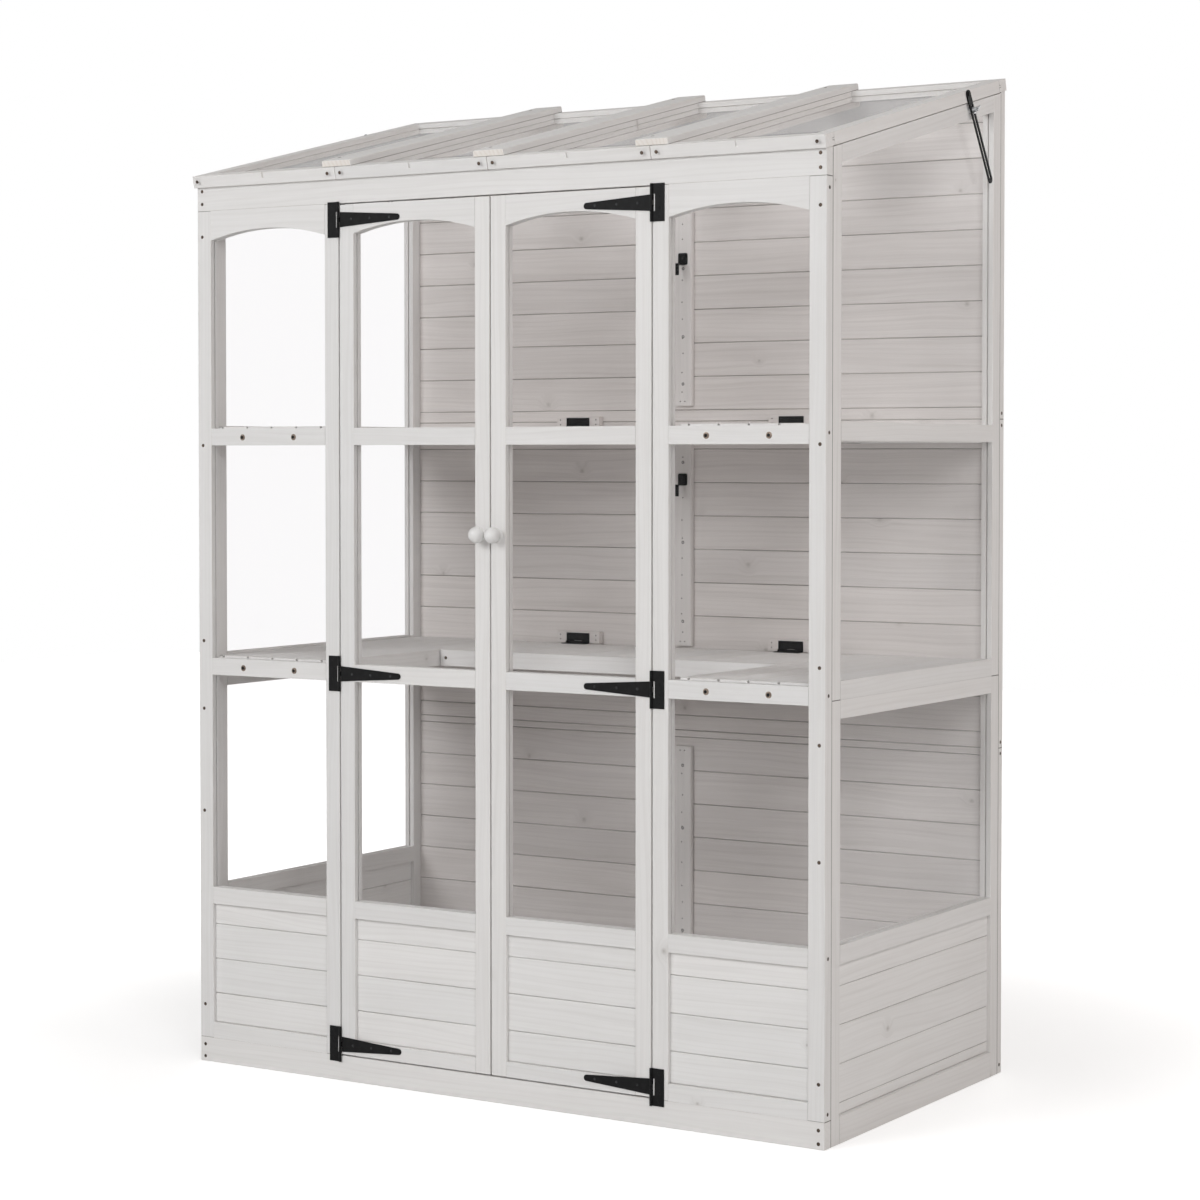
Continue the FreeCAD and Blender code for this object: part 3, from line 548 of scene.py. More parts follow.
@dataclass(frozen=True)
class WhiteStain:
    """Thin white stain over planed fir, grain showing through."""

    name: str = "white stained fir"
    cool: Colour = (0.757, 0.751, 0.745, 1.0)
    warm: Colour = (0.79, 0.777, 0.765, 1.0)
    grain: Colour = (0.57, 0.55, 0.53, 1.0)
    knot: Colour = (0.33, 0.30, 0.275, 1.0)
    joint_shade_colour: Colour = (0.10, 0.088, 0.078, 1.0)
    bare: Colour = (0.62, 0.57, 0.51, 1.0)
    knots: float = 0.10
    streaks: float = 0.17
    rings: float = 0.07
    clouds: float = 0.07
    halo_tint: float = 0.1
    knot_tint: float = 0.5
    wear: float = 0.3
    wear_scale: float = 24.0
    # How strongly the joints and seams are darkened with painted shade, and how that shade comes and goes
    # in patches.
    joints: float = 0.6
    joint_range: Span = (0.45, 1.0)
    shade_patch_range: Span = (0.0, 0.6)
    shade_patch_least: float = 0.5
    seams: float = 0.85
    roughness: Span = (0.74, 0.56)
    specular: float = 0.15
    relief: float = 0.2
    relief_depth: float = 0.3 * MM

    def material(self, effects: Effects) -> Material:
        """Builds the material.

        Args:
            effects: Shared node groups.

        Returns:
            The finished material.
        """
        material, bench, shader = new_material(self.name)
        at = bench.attribute(GRAIN_AT, "Vector")
        grain = effects.grain.place(bench, At=at, Knots=self.knots)
        colour = self.figured(bench, grain)
        edge = bench.attribute(ARRIS, "Fac")
        wear = effects.arris.place(bench, At=at, Edge=edge, Patch_Scale=self.wear_scale)
        colour = bench.blend(bench.times(wear.outputs["Wear"], self.wear), colour, self.bare)
        # Painted shade in the joints of boards and along the seams of frames.
        colour = bench.blend(self.painted_joint_shade(bench, grain), colour, self.joint_shade_colour)
        relief = grain.outputs["Relief"]
        bench.wire(shader, Base_Color=colour, Roughness=bench.ramp(relief, *RELIEF_RANGE, *self.roughness),
                   Specular_IOR_Level=self.specular)
        roughen(bench, shader, relief, self.relief, self.relief_depth)
        return material

    def figured(self, bench: NodeBench, grain: Node) -> Socket:
        """Colours the board's tone with its grain and knots.

        Args:
            bench: The material's node tree.
            grain: The grain's group node.

        Returns:
            The colour of the stained wood.
        """
        colour = bench.blend(bench.attribute(BOARD_TONE, "Fac"), self.cool, self.warm)
        dark = bench.plus(bench.times(grain.outputs["Streak"], self.streaks),
                          bench.times(grain.outputs["Ring"], self.rings))
        dark = bench.plus(dark, bench.times(grain.outputs["Cloud"], self.clouds))
        colour = bench.blend(dark, colour, self.grain)
        colour = bench.blend(bench.times(grain.outputs["Halo"], self.halo_tint), colour, self.knot)
        return bench.blend(bench.times(grain.outputs["Knot"], self.knot_tint), colour, self.knot)

    def painted_joint_shade(self, bench: NodeBench, grain: Node) -> Socket:
        """Finds the painted shade: dark lines in the joints of boards and along the seams of frames, patchy
        over the joints.

        Args:
            bench: The material's node tree.
            grain: The grain's group node.

        Returns:
            How dark each line is, from 0 to 1.
        """
        joint = bench.ramp(bench.attribute(CREVICE, "Fac"), *self.joint_range, 0.0, self.joints)
        # Patches over which the painted joint shade is stronger or weaker.
        shade_patches = bench.ramp(grain.outputs["Cloud"], *self.shade_patch_range, self.shade_patch_least, 1.0)
        seam = bench.times(bench.attribute(SEAM, "Fac"), self.seams)
        return bench.math("MAXIMUM", bench.times(joint, shade_patches), seam)


@dataclass(frozen=True)
class RawEnd:
    """Sawn end of a batten, cream with growth rings."""

    name: str = "raw sawn end"
    light: Colour = (0.79, 0.75, 0.71, 1.0)
    dark: Colour = (0.75, 0.70, 0.65, 1.0)
    roughness: Span = (0.85, 0.7)
    relief: float = 0.4
    relief_depth: float = 0.4 * MM

    def material(self, effects: Effects) -> Material:
        """Builds the material.

        Args:
            effects: Shared node groups.

        Returns:
            The finished material.
        """
        material, bench, shader = new_material(self.name)
        grain = effects.grain.place(bench, At=bench.attribute(GRAIN_AT, "Vector"), Knots=0.0)
        relief = grain.outputs["Relief"]
        bench.wire(shader, Base_Color=bench.blend(grain.outputs["Ring"], self.light, self.dark),
                   Roughness=bench.ramp(relief, *RELIEF_RANGE, *self.roughness))
        roughen(bench, shader, relief, self.relief, self.relief_depth)
        return material


@dataclass(frozen=True)
class ClearSheet:
    """Clear glazing with a faint ripple, which lets lamps through."""

    name: str = "clear sheet"
    tint: Colour = (0.985, 0.98, 0.983, 1.0)
    bending: float = 1.12
    wide_ripple: float = 3.0
    fine_ripple: float = 9.0
    relief: float = 0.06
    relief_depth: float = 0.5 * MM

    def material(self, effects: Effects) -> Material:
        """Builds the material.

        Args:
            effects: Shared node groups.

        Returns:
            The finished material.
        """
        material, bench, shader = new_material(self.name)
        ripple = effects.speckle.place(bench, At=bench.own_space(), Mottle_Scale=self.wide_ripple,
                                       Grit_Scale=self.fine_ripple)
        bench.wire(shader, Base_Color=self.tint, Transmission_Weight=1.0, IOR=self.bending, Roughness=0.0)
        roughen(bench, shader, ripple.outputs["Relief"], self.relief, self.relief_depth)
        path = bench.node("ShaderNodeLightPath")
        clear = bench.node("ShaderNodeBsdfTransparent")
        passed = bench.node("ShaderNodeMixShader")
        lamp = bench.math("MAXIMUM", path.outputs["Is Shadow Ray"], path.outputs["Is Diffuse Ray"])
        bench.feed(passed.inputs[0], lamp)
        bench.feed(passed.inputs[1], shader.outputs[0])
        bench.feed(passed.inputs[2], clear.outputs[0])
        bench.wire(material.node_tree.nodes["Material Output"], Surface=passed.outputs[0])
        return material


@dataclass(frozen=True)
class Coating:
    """Plating, coat or paint with a fine mottle, which may wear along its edges."""

    name: str
    base: Colour
    shade: Colour
    roughness: Span
    metallic: float = 1.0
    specular: float = 0.5
    mottle: float = 1.0
    mottle_scale: float = 220.0
    grit_scale: float = 2400.0
    wear: float = 0.0
    wear_scale: float = 160.0
    relief: float = 0.2
    relief_depth: float = 0.08 * MM

    def material(self, effects: Effects) -> Material:
        """Builds the material.

        Args:
            effects: Shared node groups.

        Returns:
            The finished material.
        """
        material, bench, shader = new_material(self.name)
        at = bench.own_space()
        speckle = effects.speckle.place(bench, At=at, Mottle_Scale=self.mottle_scale,
                                        Grit_Scale=self.grit_scale)
        shade = bench.times(speckle.outputs["Mottle"], self.mottle)
        colour = bench.blend(shade, self.base, self.shade)
        if self.wear:
            edge = bench.attribute(ARRIS, "Fac")
            wear = effects.arris.place(bench, At=at, Edge=edge, Patch_Scale=self.wear_scale)
            colour = bench.blend(bench.times(wear.outputs["Wear"], self.wear), colour, self.shade)
        rough = bench.ramp(speckle.outputs["Grit"], 0.0, 1.0, *self.roughness)
        bench.wire(shader, Base_Color=colour, Roughness=rough, Metallic=self.metallic,
                   Specular_IOR_Level=self.specular)
        roughen(bench, shader, speckle.outputs["Relief"], self.relief, self.relief_depth)
        return material


@dataclass
class Palette:
    """Every finish of the house, built once."""

    effects: Effects = field(default_factory=Effects)

    def __post_init__(self) -> None:
        """Builds the materials."""
        self.wood = WhiteStain().material(self.effects)
        # A lighter copy of the stain for the boarded fields: painted light that offsets the shade in their
        # recesses.
        self.plinth = WhiteStain("white stained plinth boards", cool=(0.79, 0.784, 0.776, 1.0),
                                 warm=(0.825, 0.812, 0.80, 1.0)).material(self.effects)
        # The back boards' darker, pinker tone is partly their own and partly painted warm shade of the
        # interior, and their joints take stronger painted shade.
        self.inside = WhiteStain("white stained back boards", cool=(0.727, 0.696, 0.682, 1.0),
                                 warm=(0.778, 0.741, 0.722, 1.0), grain=(0.505, 0.468, 0.446, 1.0),
                                 streaks=0.23, rings=0.09, clouds=0.16, knots=0.26,
                                 joints=0.85).material(self.effects)
        self.batten = WhiteStain("white stained battens", cool=(0.762, 0.737, 0.724, 1.0),
                                 warm=(0.795, 0.768, 0.752, 1.0)).material(self.effects)
        self.raw = RawEnd().material(self.effects)
        self.clear = ClearSheet().material(self.effects)
        self.black = Coating("black coated steel", (0.005, 0.005, 0.0052, 1.0), (0.035, 0.035, 0.036, 1.0),
                             (0.40, 0.56), metallic=0.0, specular=0.1, mottle=0.12, mottle_scale=90.0,
                             grit_scale=1800.0, wear=0.6, relief=0.25,
                             relief_depth=0.12 * MM).material(self.effects)
        self.zinc = Coating("zinc plate", (0.60, 0.61, 0.62, 1.0), (0.42, 0.43, 0.44, 1.0),
                            (0.28, 0.44)).material(self.effects)
        self.screw = Coating("bronzed screw", (0.11, 0.082, 0.066, 1.0), (0.04, 0.031, 0.026, 1.0),
                             (0.38, 0.55)).material(self.effects)
        self.brass = Coating("antique brass", (0.29, 0.24, 0.20, 1.0), (0.15, 0.115, 0.095, 1.0),
                             (0.34, 0.5)).material(self.effects)
        self.steel = Coating("dark steel", (0.045, 0.045, 0.047, 1.0), (0.02, 0.02, 0.021, 1.0),
                             (0.36, 0.52)).material(self.effects)
        self.knob = Coating("knob paint", (0.755, 0.75, 0.742, 1.0), (0.68, 0.67, 0.655, 1.0), (0.4, 0.55),
                            metallic=0.0, mottle=0.4, mottle_scale=110.0, grit_scale=900.0,
                            relief_depth=0.15 * MM).material(self.effects)


# Meshes


Key = tuple[int, int, int]
Faces = list[tuple[Key, ...]]

# Step of the corner keys, in millimetres.
KEY_STEP = 0.01

# Faces that meet at less than this are one flat face.
FLAT_ANGLE = math.radians(0.5)

# A box is the tighter one below this share of the other's volume.
CLEARLY_LESS = 0.98

# How much more a large face counts than its rounded edges in smooth shading.
FLAT_WEIGHT = 90

ROUND_PROFILE = 0.5


def closed_solids(mesh: bpy.types.Mesh) -> list[Faces]:
    """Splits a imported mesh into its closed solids.

    Args:
        mesh: Mesh whose faces come solid by solid, each face with its own corners.

    Returns:
        For each solid its faces, as corner keys.
    """
    keys = [tuple(round(value / (KEY_STEP * MM)) for value in vertex.co) for vertex in mesh.vertices]
    solids: list[Faces] = []
    faces: Faces = []
    loose: set[frozenset[Key]] = set()
    for polygon in mesh.polygons:
        corners = tuple(keys[index] for index in polygon.vertices)
        if len(set(corners)) == len(corners):
            faces.append(corners)
        for pair in zip(corners, corners[1:] + corners[:1]):
            if pair[0] != pair[1]:
                loose ^= {frozenset(pair)}
        if faces and not loose:
            solids.append(faces)
            faces = []
    if faces:
        solids.append(faces)
    return solids


def solids_of(node: str) -> list[Faces]:
    """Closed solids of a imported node."""
    return closed_solids(frame["nodes"][node].data)


def corner_points(faces: Faces) -> list[Vector]:
    """Corners of a solid in metres."""
    return [Vector(key) * KEY_STEP * MM for key in sorted({key for face in faces for key in face})]


def box_of(points: Sequence[Vector]) -> list[Vector]:
    """Lowest and highest corner of the upright box round some points."""
    return [Vector([pick(point[axis] for point in points) for axis in range(3)]) for pick in (min, max)]


def boxes_of(node: str) -> list[list[Vector]]:
    """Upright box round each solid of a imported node."""
    return [box_of(corner_points(faces)) for faces in solids_of(node)]


def blank_solid() -> Solid:
    """Starts a solid, whose integer face layer named ARRIS marks rounded edges.

    Returns:
        The empty solid.
    """
    solid = bmesh.new()
    solid.faces.layers.int.new(ARRIS)
    return solid


def rounded_solid(faces: Faces, rounding: float, segments: int, sharp: float) -> Solid:
    """Rebuilds one solid with its sharp edges rounded.

    Args:
        faces: Corner keys of the solid's faces.
        rounding: Width of the rounding in metres.
        segments: Facets across the rounding.
        sharp: Angle between faces, in radians, above which an edge is rounded.

    Returns:
        The solid, with its rounded edges marked.
    """
    solid = blank_solid()
    corners = {key: solid.verts.new([value * KEY_STEP * MM for value in key])
               for key in sorted({key for face in faces for key in face})}
    for face in faces:
        members = [corners[key] for key in face]
        if solid.faces.get(members) is None:
            solid.faces.new(members)
    bmesh.ops.recalc_face_normals(solid, faces=solid.faces)
    bmesh.ops.dissolve_limit(solid, angle_limit=FLAT_ANGLE, verts=solid.verts, edges=solid.edges)
    edges = [edge for edge in solid.edges if edge.is_manifold and edge.calc_face_angle(0.0) > sharp]
    made = bmesh.ops.bevel(solid, geom=edges, offset=rounding, offset_type="OFFSET", segments=segments,
                           profile=ROUND_PROFILE, affect="EDGES", clamp_overlap=True)
    mark = solid.faces.layers.int.get(ARRIS)
    for face in made["faces"]:
        face[mark] = 1
    return solid


def pierce(solid: Solid, low: Vector, high: Vector) -> None:
    """Cuts an oblong hole through a plate that looks to the front.

    Args:
        solid: The plate.
        low: Lowest corner of the hole.
        high: Highest corner of the hole.
    """
    for corner in (low, high):
        for axis in (RIGHT, UP):
            bmesh.ops.bisect_plane(solid, geom=[*solid.verts, *solid.edges, *solid.faces],
                                   plane_co=corner, plane_no=axis)
    gone = []
    for face in solid.faces:
        centre = face.calc_center_median()
        if low.x < centre.x < high.x and low.z < centre.z < high.z:
            gone.append(face)
    bmesh.ops.delete(solid, geom=gone, context="FACES")
    bmesh.ops.bridge_loops(solid, edges=[edge for edge in solid.edges if edge.is_boundary])


@dataclass(frozen=True)
class BoardFrame:
    """How one timber lies: directions along, across and through it, and its extent in each."""

    axes: tuple[Vector, Vector, Vector]
    low: Triple
    high: Triple

    @classmethod
    def of(cls, points: Sequence[Vector]) -> "BoardFrame":
        """Finds how a timber lies.

        Args:
            points: The timber's corners.

        Returns:
            The tighter of the level and the roof-sloped frame, longest axis first.
        """
        best: list[tuple[float, Vector, float, float]] = []
        least = math.inf
        for triple in ((RIGHT, -FRONT, UP), (RIGHT, UP_SLOPE, OFF_SLOPE)):
            spans = []
            for axis in triple:
                along = [point.dot(axis) for point in points]
                spans.append((max(along) - min(along), axis, min(along), max(along)))
            volume = math.prod(span[0] for span in spans)
            if volume < least * CLEARLY_LESS:
                least = volume
                best = sorted(spans, key=lambda span: -span[0])
        return cls(*(tuple(column) for column in list(zip(*best))[1:]))

    def place(self, point: Vector) -> Vector:
        """A point in the timber's own coordinates."""
        return Vector([point.dot(axis) - low for axis, low in zip(self.axes, self.low)])

    def meets(self, point: Vector, reach: float) -> bool:
        """Whether a point lies in the timber's box or within reach of it."""
        return all(low - reach < point.dot(axis) < high + reach
                   for axis, low, high in zip(self.axes, self.low, self.high))


@dataclass(frozen=True)
class Timber:
    """One wooden solid of a node, how it lies, and its upright box."""

    node: str
    number: int
    lie: BoardFrame
    box: list[Vector]

    def apart(self, other: "Timber", reach: float) -> bool:
        """Tells whether two timbers stand clear of each other.

        Args:
            other: The second timber.
            reach: Gap that still counts as touching.

        Returns:
            True if their boxes are further apart than that.
        """
        low, high = self.box
        return any(low[axis] > other.box[1][axis] + reach or high[axis] < other.box[0][axis] - reach
                   for axis in range(3))


@dataclass
class JointFinder:
    """Knows every timber of the house, to tell where one meets another."""

    reach: float = 0.6 * MM
    timbers: list[Timber] = field(default_factory=list)

    def __post_init__(self) -> None:
        """Measures the wooden solids of the frame."""
        for part in frame["record"]["subparts"]:
            if part["material_slot"] == Slot.WOOD.value:
                for number, faces in enumerate(solids_of(part["node"])):
                    points = corner_points(faces)
                    self.timbers.append(Timber(part["node"], number, BoardFrame.of(points), box_of(points)))

    def near(self, node: str, number: int) -> list[BoardFrame]:
        """Timbers whose boxes touch the box of one timber.

        Args:
            node: Node of the timber.
            number: Which solid of the node it is.

        Returns:
            How its neighbours lie, or nothing if it is no timber.
        """
        for own in self.timbers:
            if (own.node, own.number) == (node, number):
                return [timber.lie for timber in self.timbers
                        if timber is not own and not timber.apart(own, self.reach)]
        return []

    def mark(self, solid: Solid, node: str, number: int) -> None:
        """Marks the rounded edges of a timber that lie along another timber, which the stain darkens with
        painted shade.

        Args:
            solid: The rounded timber.
            node: Its node.
            number: Which solid of the node it is.
        """
        edge = solid.faces.layers.int.get(ARRIS)
        seam = solid.faces.layers.int.new(SEAM)
        near = self.near(node, number)
        for face in solid.faces:
            if face[edge]:
                centre = face.calc_center_median()
                face[seam] = int(any(lie.meets(centre, self.reach) for lie in near))


@dataclass
class MeshStore:
    """Vertices, faces and attributes gathered for one piece."""

    points: list[Vector] = field(default_factory=list)
    faces: list[list[int]] = field(default_factory=list)
    grain: list[Vector] = field(default_factory=list)
    tone: list[float] = field(default_factory=list)
    crevice: list[float] = field(default_factory=list)
    arris: list[float] = field(default_factory=list)
    seam: list[float] = field(default_factory=list)
    slot: list[int] = field(default_factory=list)

    def take(self, solid: Solid, shift: Vector, tone: float, chamfer: float = 0.0) -> None:
        """Adds a solid, which is freed.

        Args:
            solid: The solid to add.
            shift: Where in the timber its grain is cut from.
            tone: Tone of the board, from 0 to 1.
            chamfer: Depth of the joints' chamfers where painted shade shows, or 0 for none.
        """
        first = len(self.points)
        solid.verts.index_update()
        points = [vertex.co.copy() for vertex in solid.verts]
        lie = BoardFrame.of(points)
        placed = [lie.place(point) for point in points]
        thick = max(point.z for point in placed)
        self.points += points
        self.grain += [point + shift for point in placed]
        self.tone += [tone] * len(points)
        for point in placed:
            inward = min(point.z, thick - point.z)
            self.crevice.append(min(1.0, inward / chamfer) if chamfer else 0.0)
        edge = solid.faces.layers.int.get(ARRIS)
        seam = solid.faces.layers.int.get(SEAM)
        for face in solid.faces:
            self.faces.append([first + vertex.index for vertex in face.verts])
            self.arris.append(float(face[edge]) if edge else 0.0)
            self.seam.append(float(face[seam]) if seam else 0.0)
            self.slot.append(face.material_index)
        solid.free()

    def piece(self, name: str, materials: Sequence[Material]) -> Piece:
        """Makes the object.

        Args:
            name: Name of the piece.
            materials: Its material slots.

        Returns:
            The new object, linked to the scene.
        """
        mesh = bpy.data.meshes.new(name)
        mesh.from_pydata([tuple(point) for point in self.points], [], self.faces)
        grain = mesh.attributes.new(GRAIN_AT, "FLOAT_VECTOR", "POINT")
        grain.data.foreach_set("vector", [value for point in self.grain for value in point])
        for label, domain, values in ((BOARD_TONE, "POINT", self.tone), (CREVICE, "POINT", self.crevice),
                                      (ARRIS, "FACE", self.arris), (SEAM, "FACE", self.seam)):
            mesh.attributes.new(label, "FLOAT", domain).data.foreach_set("value", values)
        mesh.polygons.foreach_set("use_smooth", [True] * len(self.faces))
        for material in materials:
            mesh.materials.append(material)
        mesh.polygons.foreach_set("material_index", self.slot)
        mesh.update()
        made = bpy.data.objects.new(name, mesh)
        bpy.context.scene.collection.objects.link(made)
        normals = made.modifiers.new("flat faces", "WEIGHTED_NORMAL")
        normals.weight = FLAT_WEIGHT
        return made


Carve = Callable[[Solid], None]


@dataclass
class Workshop:
    """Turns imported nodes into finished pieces."""

    palette: Palette
    joints: JointFinder = field(default_factory=JointFinder)
    pieces: list[Piece] = field(default_factory=list)
    timber_rounding: float = 0.9 * MM
    board_rounding: float = 0.5 * MM
    board_chamfer: float = 2.0 * MM
    coat_rounding: float = 0.25 * MM
    plate_rounding: float = 0.3 * MM
    facets: int = 2
    sharp: float = math.radians(32)
    grain_spread: float = 40.0

    def body(self, node: str) -> str:
        """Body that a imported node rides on."""
        return frame["nodes"][node]["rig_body"]

    def keep(self, piece: Piece, body: str, slot: Slot) -> Piece:
        """Fixes a new piece to its body and keeps it with the others.

        Args:
            piece: The piece.
            body: Body that it rides on.
            slot: Slot of the record; not used.

        Returns:
            The same piece.
        """
        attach(piece, body)
        self.pieces.append(piece)
        log.info("%s: %d faces on %s", piece.name, len(piece.data.polygons), body)
        return piece

    def remake(self, node: str, suffix: str, materials: Sequence[Material], slot: Slot,
               rounding: float, chamfer: float = 0.0, carve: Carve | None = None) -> Piece:
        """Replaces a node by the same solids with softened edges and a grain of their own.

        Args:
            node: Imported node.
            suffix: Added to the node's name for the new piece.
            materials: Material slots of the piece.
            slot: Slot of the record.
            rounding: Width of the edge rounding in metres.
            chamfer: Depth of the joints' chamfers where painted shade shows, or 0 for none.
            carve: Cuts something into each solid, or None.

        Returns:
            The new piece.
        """
        chance = random.Random(node)
        store = MeshStore()
        for number, faces in enumerate(solids_of(node)):
            solid = rounded_solid(faces, rounding, self.facets, self.sharp)
            if not chamfer:
                self.joints.mark(solid, node, number)
            if carve:
                carve(solid)
            shift = Vector([chance.uniform(0.0, self.grain_spread) for _ in range(3)])
            store.take(solid, shift, chance.random(), chamfer)
        piece = store.piece(node + "_" + suffix, materials)
        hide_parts(node)
        return self.keep(piece, self.body(node), slot)

    def timber(self, *nodes: str, stain: Material | None = None, carve: Carve | None = None) -> None:
        """Remakes wooden nodes.

        Args:
            nodes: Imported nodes.
            stain: Their finish, or None for that of the frames.
            carve: Cuts something into each solid, or None.
        """
        stain = stain or self.palette.wood
        for node in nodes:
            self.remake(node, "timber", [stain], Slot.WOOD, self.timber_rounding, carve=carve)

    def boarding(self, node: str, stain: Material | None = None) -> None:
        """Remakes a field of jointed boards, in the plinths' finish unless another is given."""
        self.remake(node, "timber", [stain or self.palette.plinth], Slot.WOOD, self.board_rounding,
                    chamfer=self.board_chamfer)

    def black(self, *nodes: str, carve: Carve | None = None) -> None:
        """Remakes black metal nodes."""
        for node in nodes:
            self.remake(node, "coated", [self.palette.black], Slot.BLACK, self.coat_rounding, carve=carve)

    def plated(self, finish: Material, *nodes: str) -> None:
        """Remakes plated nodes."""
        for node in nodes:
            self.remake(node, "plated", [finish], Slot.ZINC, self.plate_rounding)

    def sheets(self, *nodes: str) -> None:
        """Dresses clear sheets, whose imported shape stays."""
        for node in nodes:
            self.paint(node, self.palette.clear)

    def paint(self, node: str, material: Material) -> None:
        """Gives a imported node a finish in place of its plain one.

        Args:
            node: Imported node, whose shape stays.
            material: Its finish.
        """
        mesh = frame["nodes"][node].data
        mesh.materials.clear()
        mesh.materials.append(material)
        log.info("%s: packed mesh dressed", node)


# Screws and nails


@dataclass(frozen=True)
class ScrewHead:
    """Head of a screw or nail, seated on a face.

    The dome is a row of rings, each a share of the radius and of the rise.
    """

    radius: float
    rise: float
    drive: Drive
    segments: int = 24
    dome: tuple[Span, ...] = (
        (1.0, -0.4), (1.0, 0.25), (0.93, 0.62), (0.72, 0.88), (0.46, 0.98), (0.2, 1.0))
    arm_width: float = 0.2
    arm_length: float = 0.75
    recess_depth: float = 1.1

    def solid(self, place: Vector, out: Vector, turn: float) -> Solid:
        """Models the head as a low dome with its recess pressed in.

        Args:
            place: Centre of the head on the face.
            out: Direction that the face looks.
            turn: Turn of the recess in radians.

        Returns:
            The head.
        """
        solid = blank_solid()
        loops = []
        for share, height in self.dome:
            loop = []
            for step in range(self.segments):
                angle = 2 * math.pi * step / self.segments
                x = self.radius * share * math.cos(angle)
                y = self.radius * share * math.sin(angle)
                z = self.rise * height - self.recess(x, y)
                loop.append(solid.verts.new((x, y, z)))
            loops.append(loop)
        for low, high in zip(loops, loops[1:]):
            for step in range(self.segments):
                after = (step + 1) % self.segments
                solid.faces.new((low[step], low[after], high[after], high[step]))
        solid.faces.new(loops[-1])
        solid.faces.new(list(reversed(loops[0])))
        spin = out.to_track_quat("Z", "Y").to_matrix().to_4x4() @ Matrix.Rotation(turn, 4, "Z")
        solid.transform(Matrix.Translation(place) @ spin)
        return solid

    def recess(self, x: float, y: float) -> float:
        """Depth of the drive recess at a point of the head.

        Args:
            x: Offset from the head's centre.
            y: Offset at right angles to x.

        Returns:
            Depth below the dome in metres.
        """
        reach = math.hypot(x, y) / self.radius
        outside = reach > self.arm_length or min(abs(x), abs(y)) >= self.radius * self.arm_width
        if self.drive is Drive.NONE or outside:
            return 0.0
        return self.rise * self.recess_depth * (1.0 - reach)


FRAME_SCREW = ScrewHead(3.5 * MM, 0.45 * MM, Drive.CROSS)
BOLT_RIM = ScrewHead(6.3 * MM, 0.25 * MM, Drive.NONE)
# A flat black disc of painted shade that stands for a shelf bolt's socket hollow.
BOLT_SOCKET_SHADE = ScrewHead(3.4 * MM, 0.2 * MM, Drive.NONE, 32)
BATTEN_NAIL = ScrewHead(1.4 * MM, 0.4 * MM, Drive.NONE, 12)
HINGE_SCREW = ScrewHead(2.6 * MM, 0.7 * MM, Drive.CROSS, 20)


@dataclass(frozen=True)
class Fixing:
    """Where a screw or nail sits and which way it looks."""

    place: Vector
    out: Vector


def on_front(across: Iterable[float], face: float, heights: Sequence[float]) -> list[Fixing]:
    """Fixings on a face that looks to the front, at each place across it and each height."""
    return [Fixing(Vector((x, face, z)), FRONT) for x in across for z in heights]


# Sub-assemblies


@dataclass
class Assembly:
    """A part of the house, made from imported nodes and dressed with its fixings."""

    shop: Workshop

    @property
    def palette(self) -> Palette:
        """Finishes of the workshop."""
        return self.shop.palette

    def build(self) -> None:
        """Makes the pieces, in each part's own way."""
        raise NotImplementedError

    def dress(self) -> None:
        """Adds fixings, in the parts that have any."""

    def screws(self, name: str, head: ScrewHead, fixings: Iterable[Fixing], body: str,
               material: Material, slot: Slot = Slot.BLACK) -> None:
        """Makes one piece of all the screws of a group.

        Args:
            name: Name of the piece.
            head: Shape of each head.
            fixings: Places of the heads.
            body: Body that they ride on.
            material: Finish.
            slot: Slot of the record.
        """
        chance = random.Random(name)
        store = MeshStore()
        for fixing in fixings:
            solid = head.solid(fixing.place, fixing.out, chance.uniform(0.0, math.pi))
            store.take(solid, Vector(), chance.random())
        self.shop.keep(store.piece(name, [material]), body, slot)


@dataclass
class FrontWall(Assembly):
    """Sill, header and the two fixed panels, with their frame screws and shelf bolts."""

    stile_inset: float = 12.0 * MM
    stile_shares: tuple[float, ...] = (0.040, 0.276, 0.400, 0.482, 0.718, 0.969)
    sill_shares: tuple[float, ...] = (0.21, 0.70)
    header_shares: tuple[float, ...] = (0.26, 0.74)

    def build(self) -> None:
        """Makes the wooden pieces, panes and bolts."""
        panels = [side.word + "_front_panel_" for side in Side]
        self.shop.timber("front_sill", "front_header", *[panel + "frame" for panel in panels])
        for panel in panels:
            self.shop.boarding(panel + "boards")
        self.shop.sheets(*[panel + "panes" for panel in panels])
        self.shop.plated(self.palette.brass, "shelf_bolts")

    def dress(self) -> None:
        """Adds the frame screws and the heads of the shelf bolts."""
        self.frame_screws()
        self.bolt_heads()

    def frame_screws(self) -> None:
        """Adds the screws of the sill, the header and the corner stiles."""
        fixings = []
        for node, shares in (("front_sill", self.sill_shares), ("front_header", self.header_shares),
                             ("right_front_panel_frame", self.stile_shares)):
            low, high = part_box(node)
            for side in Side:
                x = side.value * (high.x - self.stile_inset)
                fixings += on_front([x], low.y, [low.z + (high.z - low.z) * share for share in shares])
        self.screws("front_frame_screws", FRAME_SCREW, fixings, "frame", self.palette.screw)

    def bolt_heads(self) -> None:
        """Adds the rim of each shelf bolt, and a black disc on its head as painted shade of its socket's
        hollow.
        """
        rims = []
        socket_shades = []
        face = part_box("front_sill")[0].y
        for low, high in boxes_of("shelf_bolts"):
            centre = (low + high) / 2
            rims += on_front([centre.x], face, [centre.z])
            # Black discs of painted shade where the bolts' socket hollows are.
            socket_shades += on_front([centre.x], low.y, [centre.z])
        self.screws("shelf_bolt_rims", BOLT_RIM, rims, "frame", self.palette.brass, Slot.ZINC)
        self.screws("shelf_bolt_sockets", BOLT_SOCKET_SHADE, socket_shades, "frame", self.palette.black)


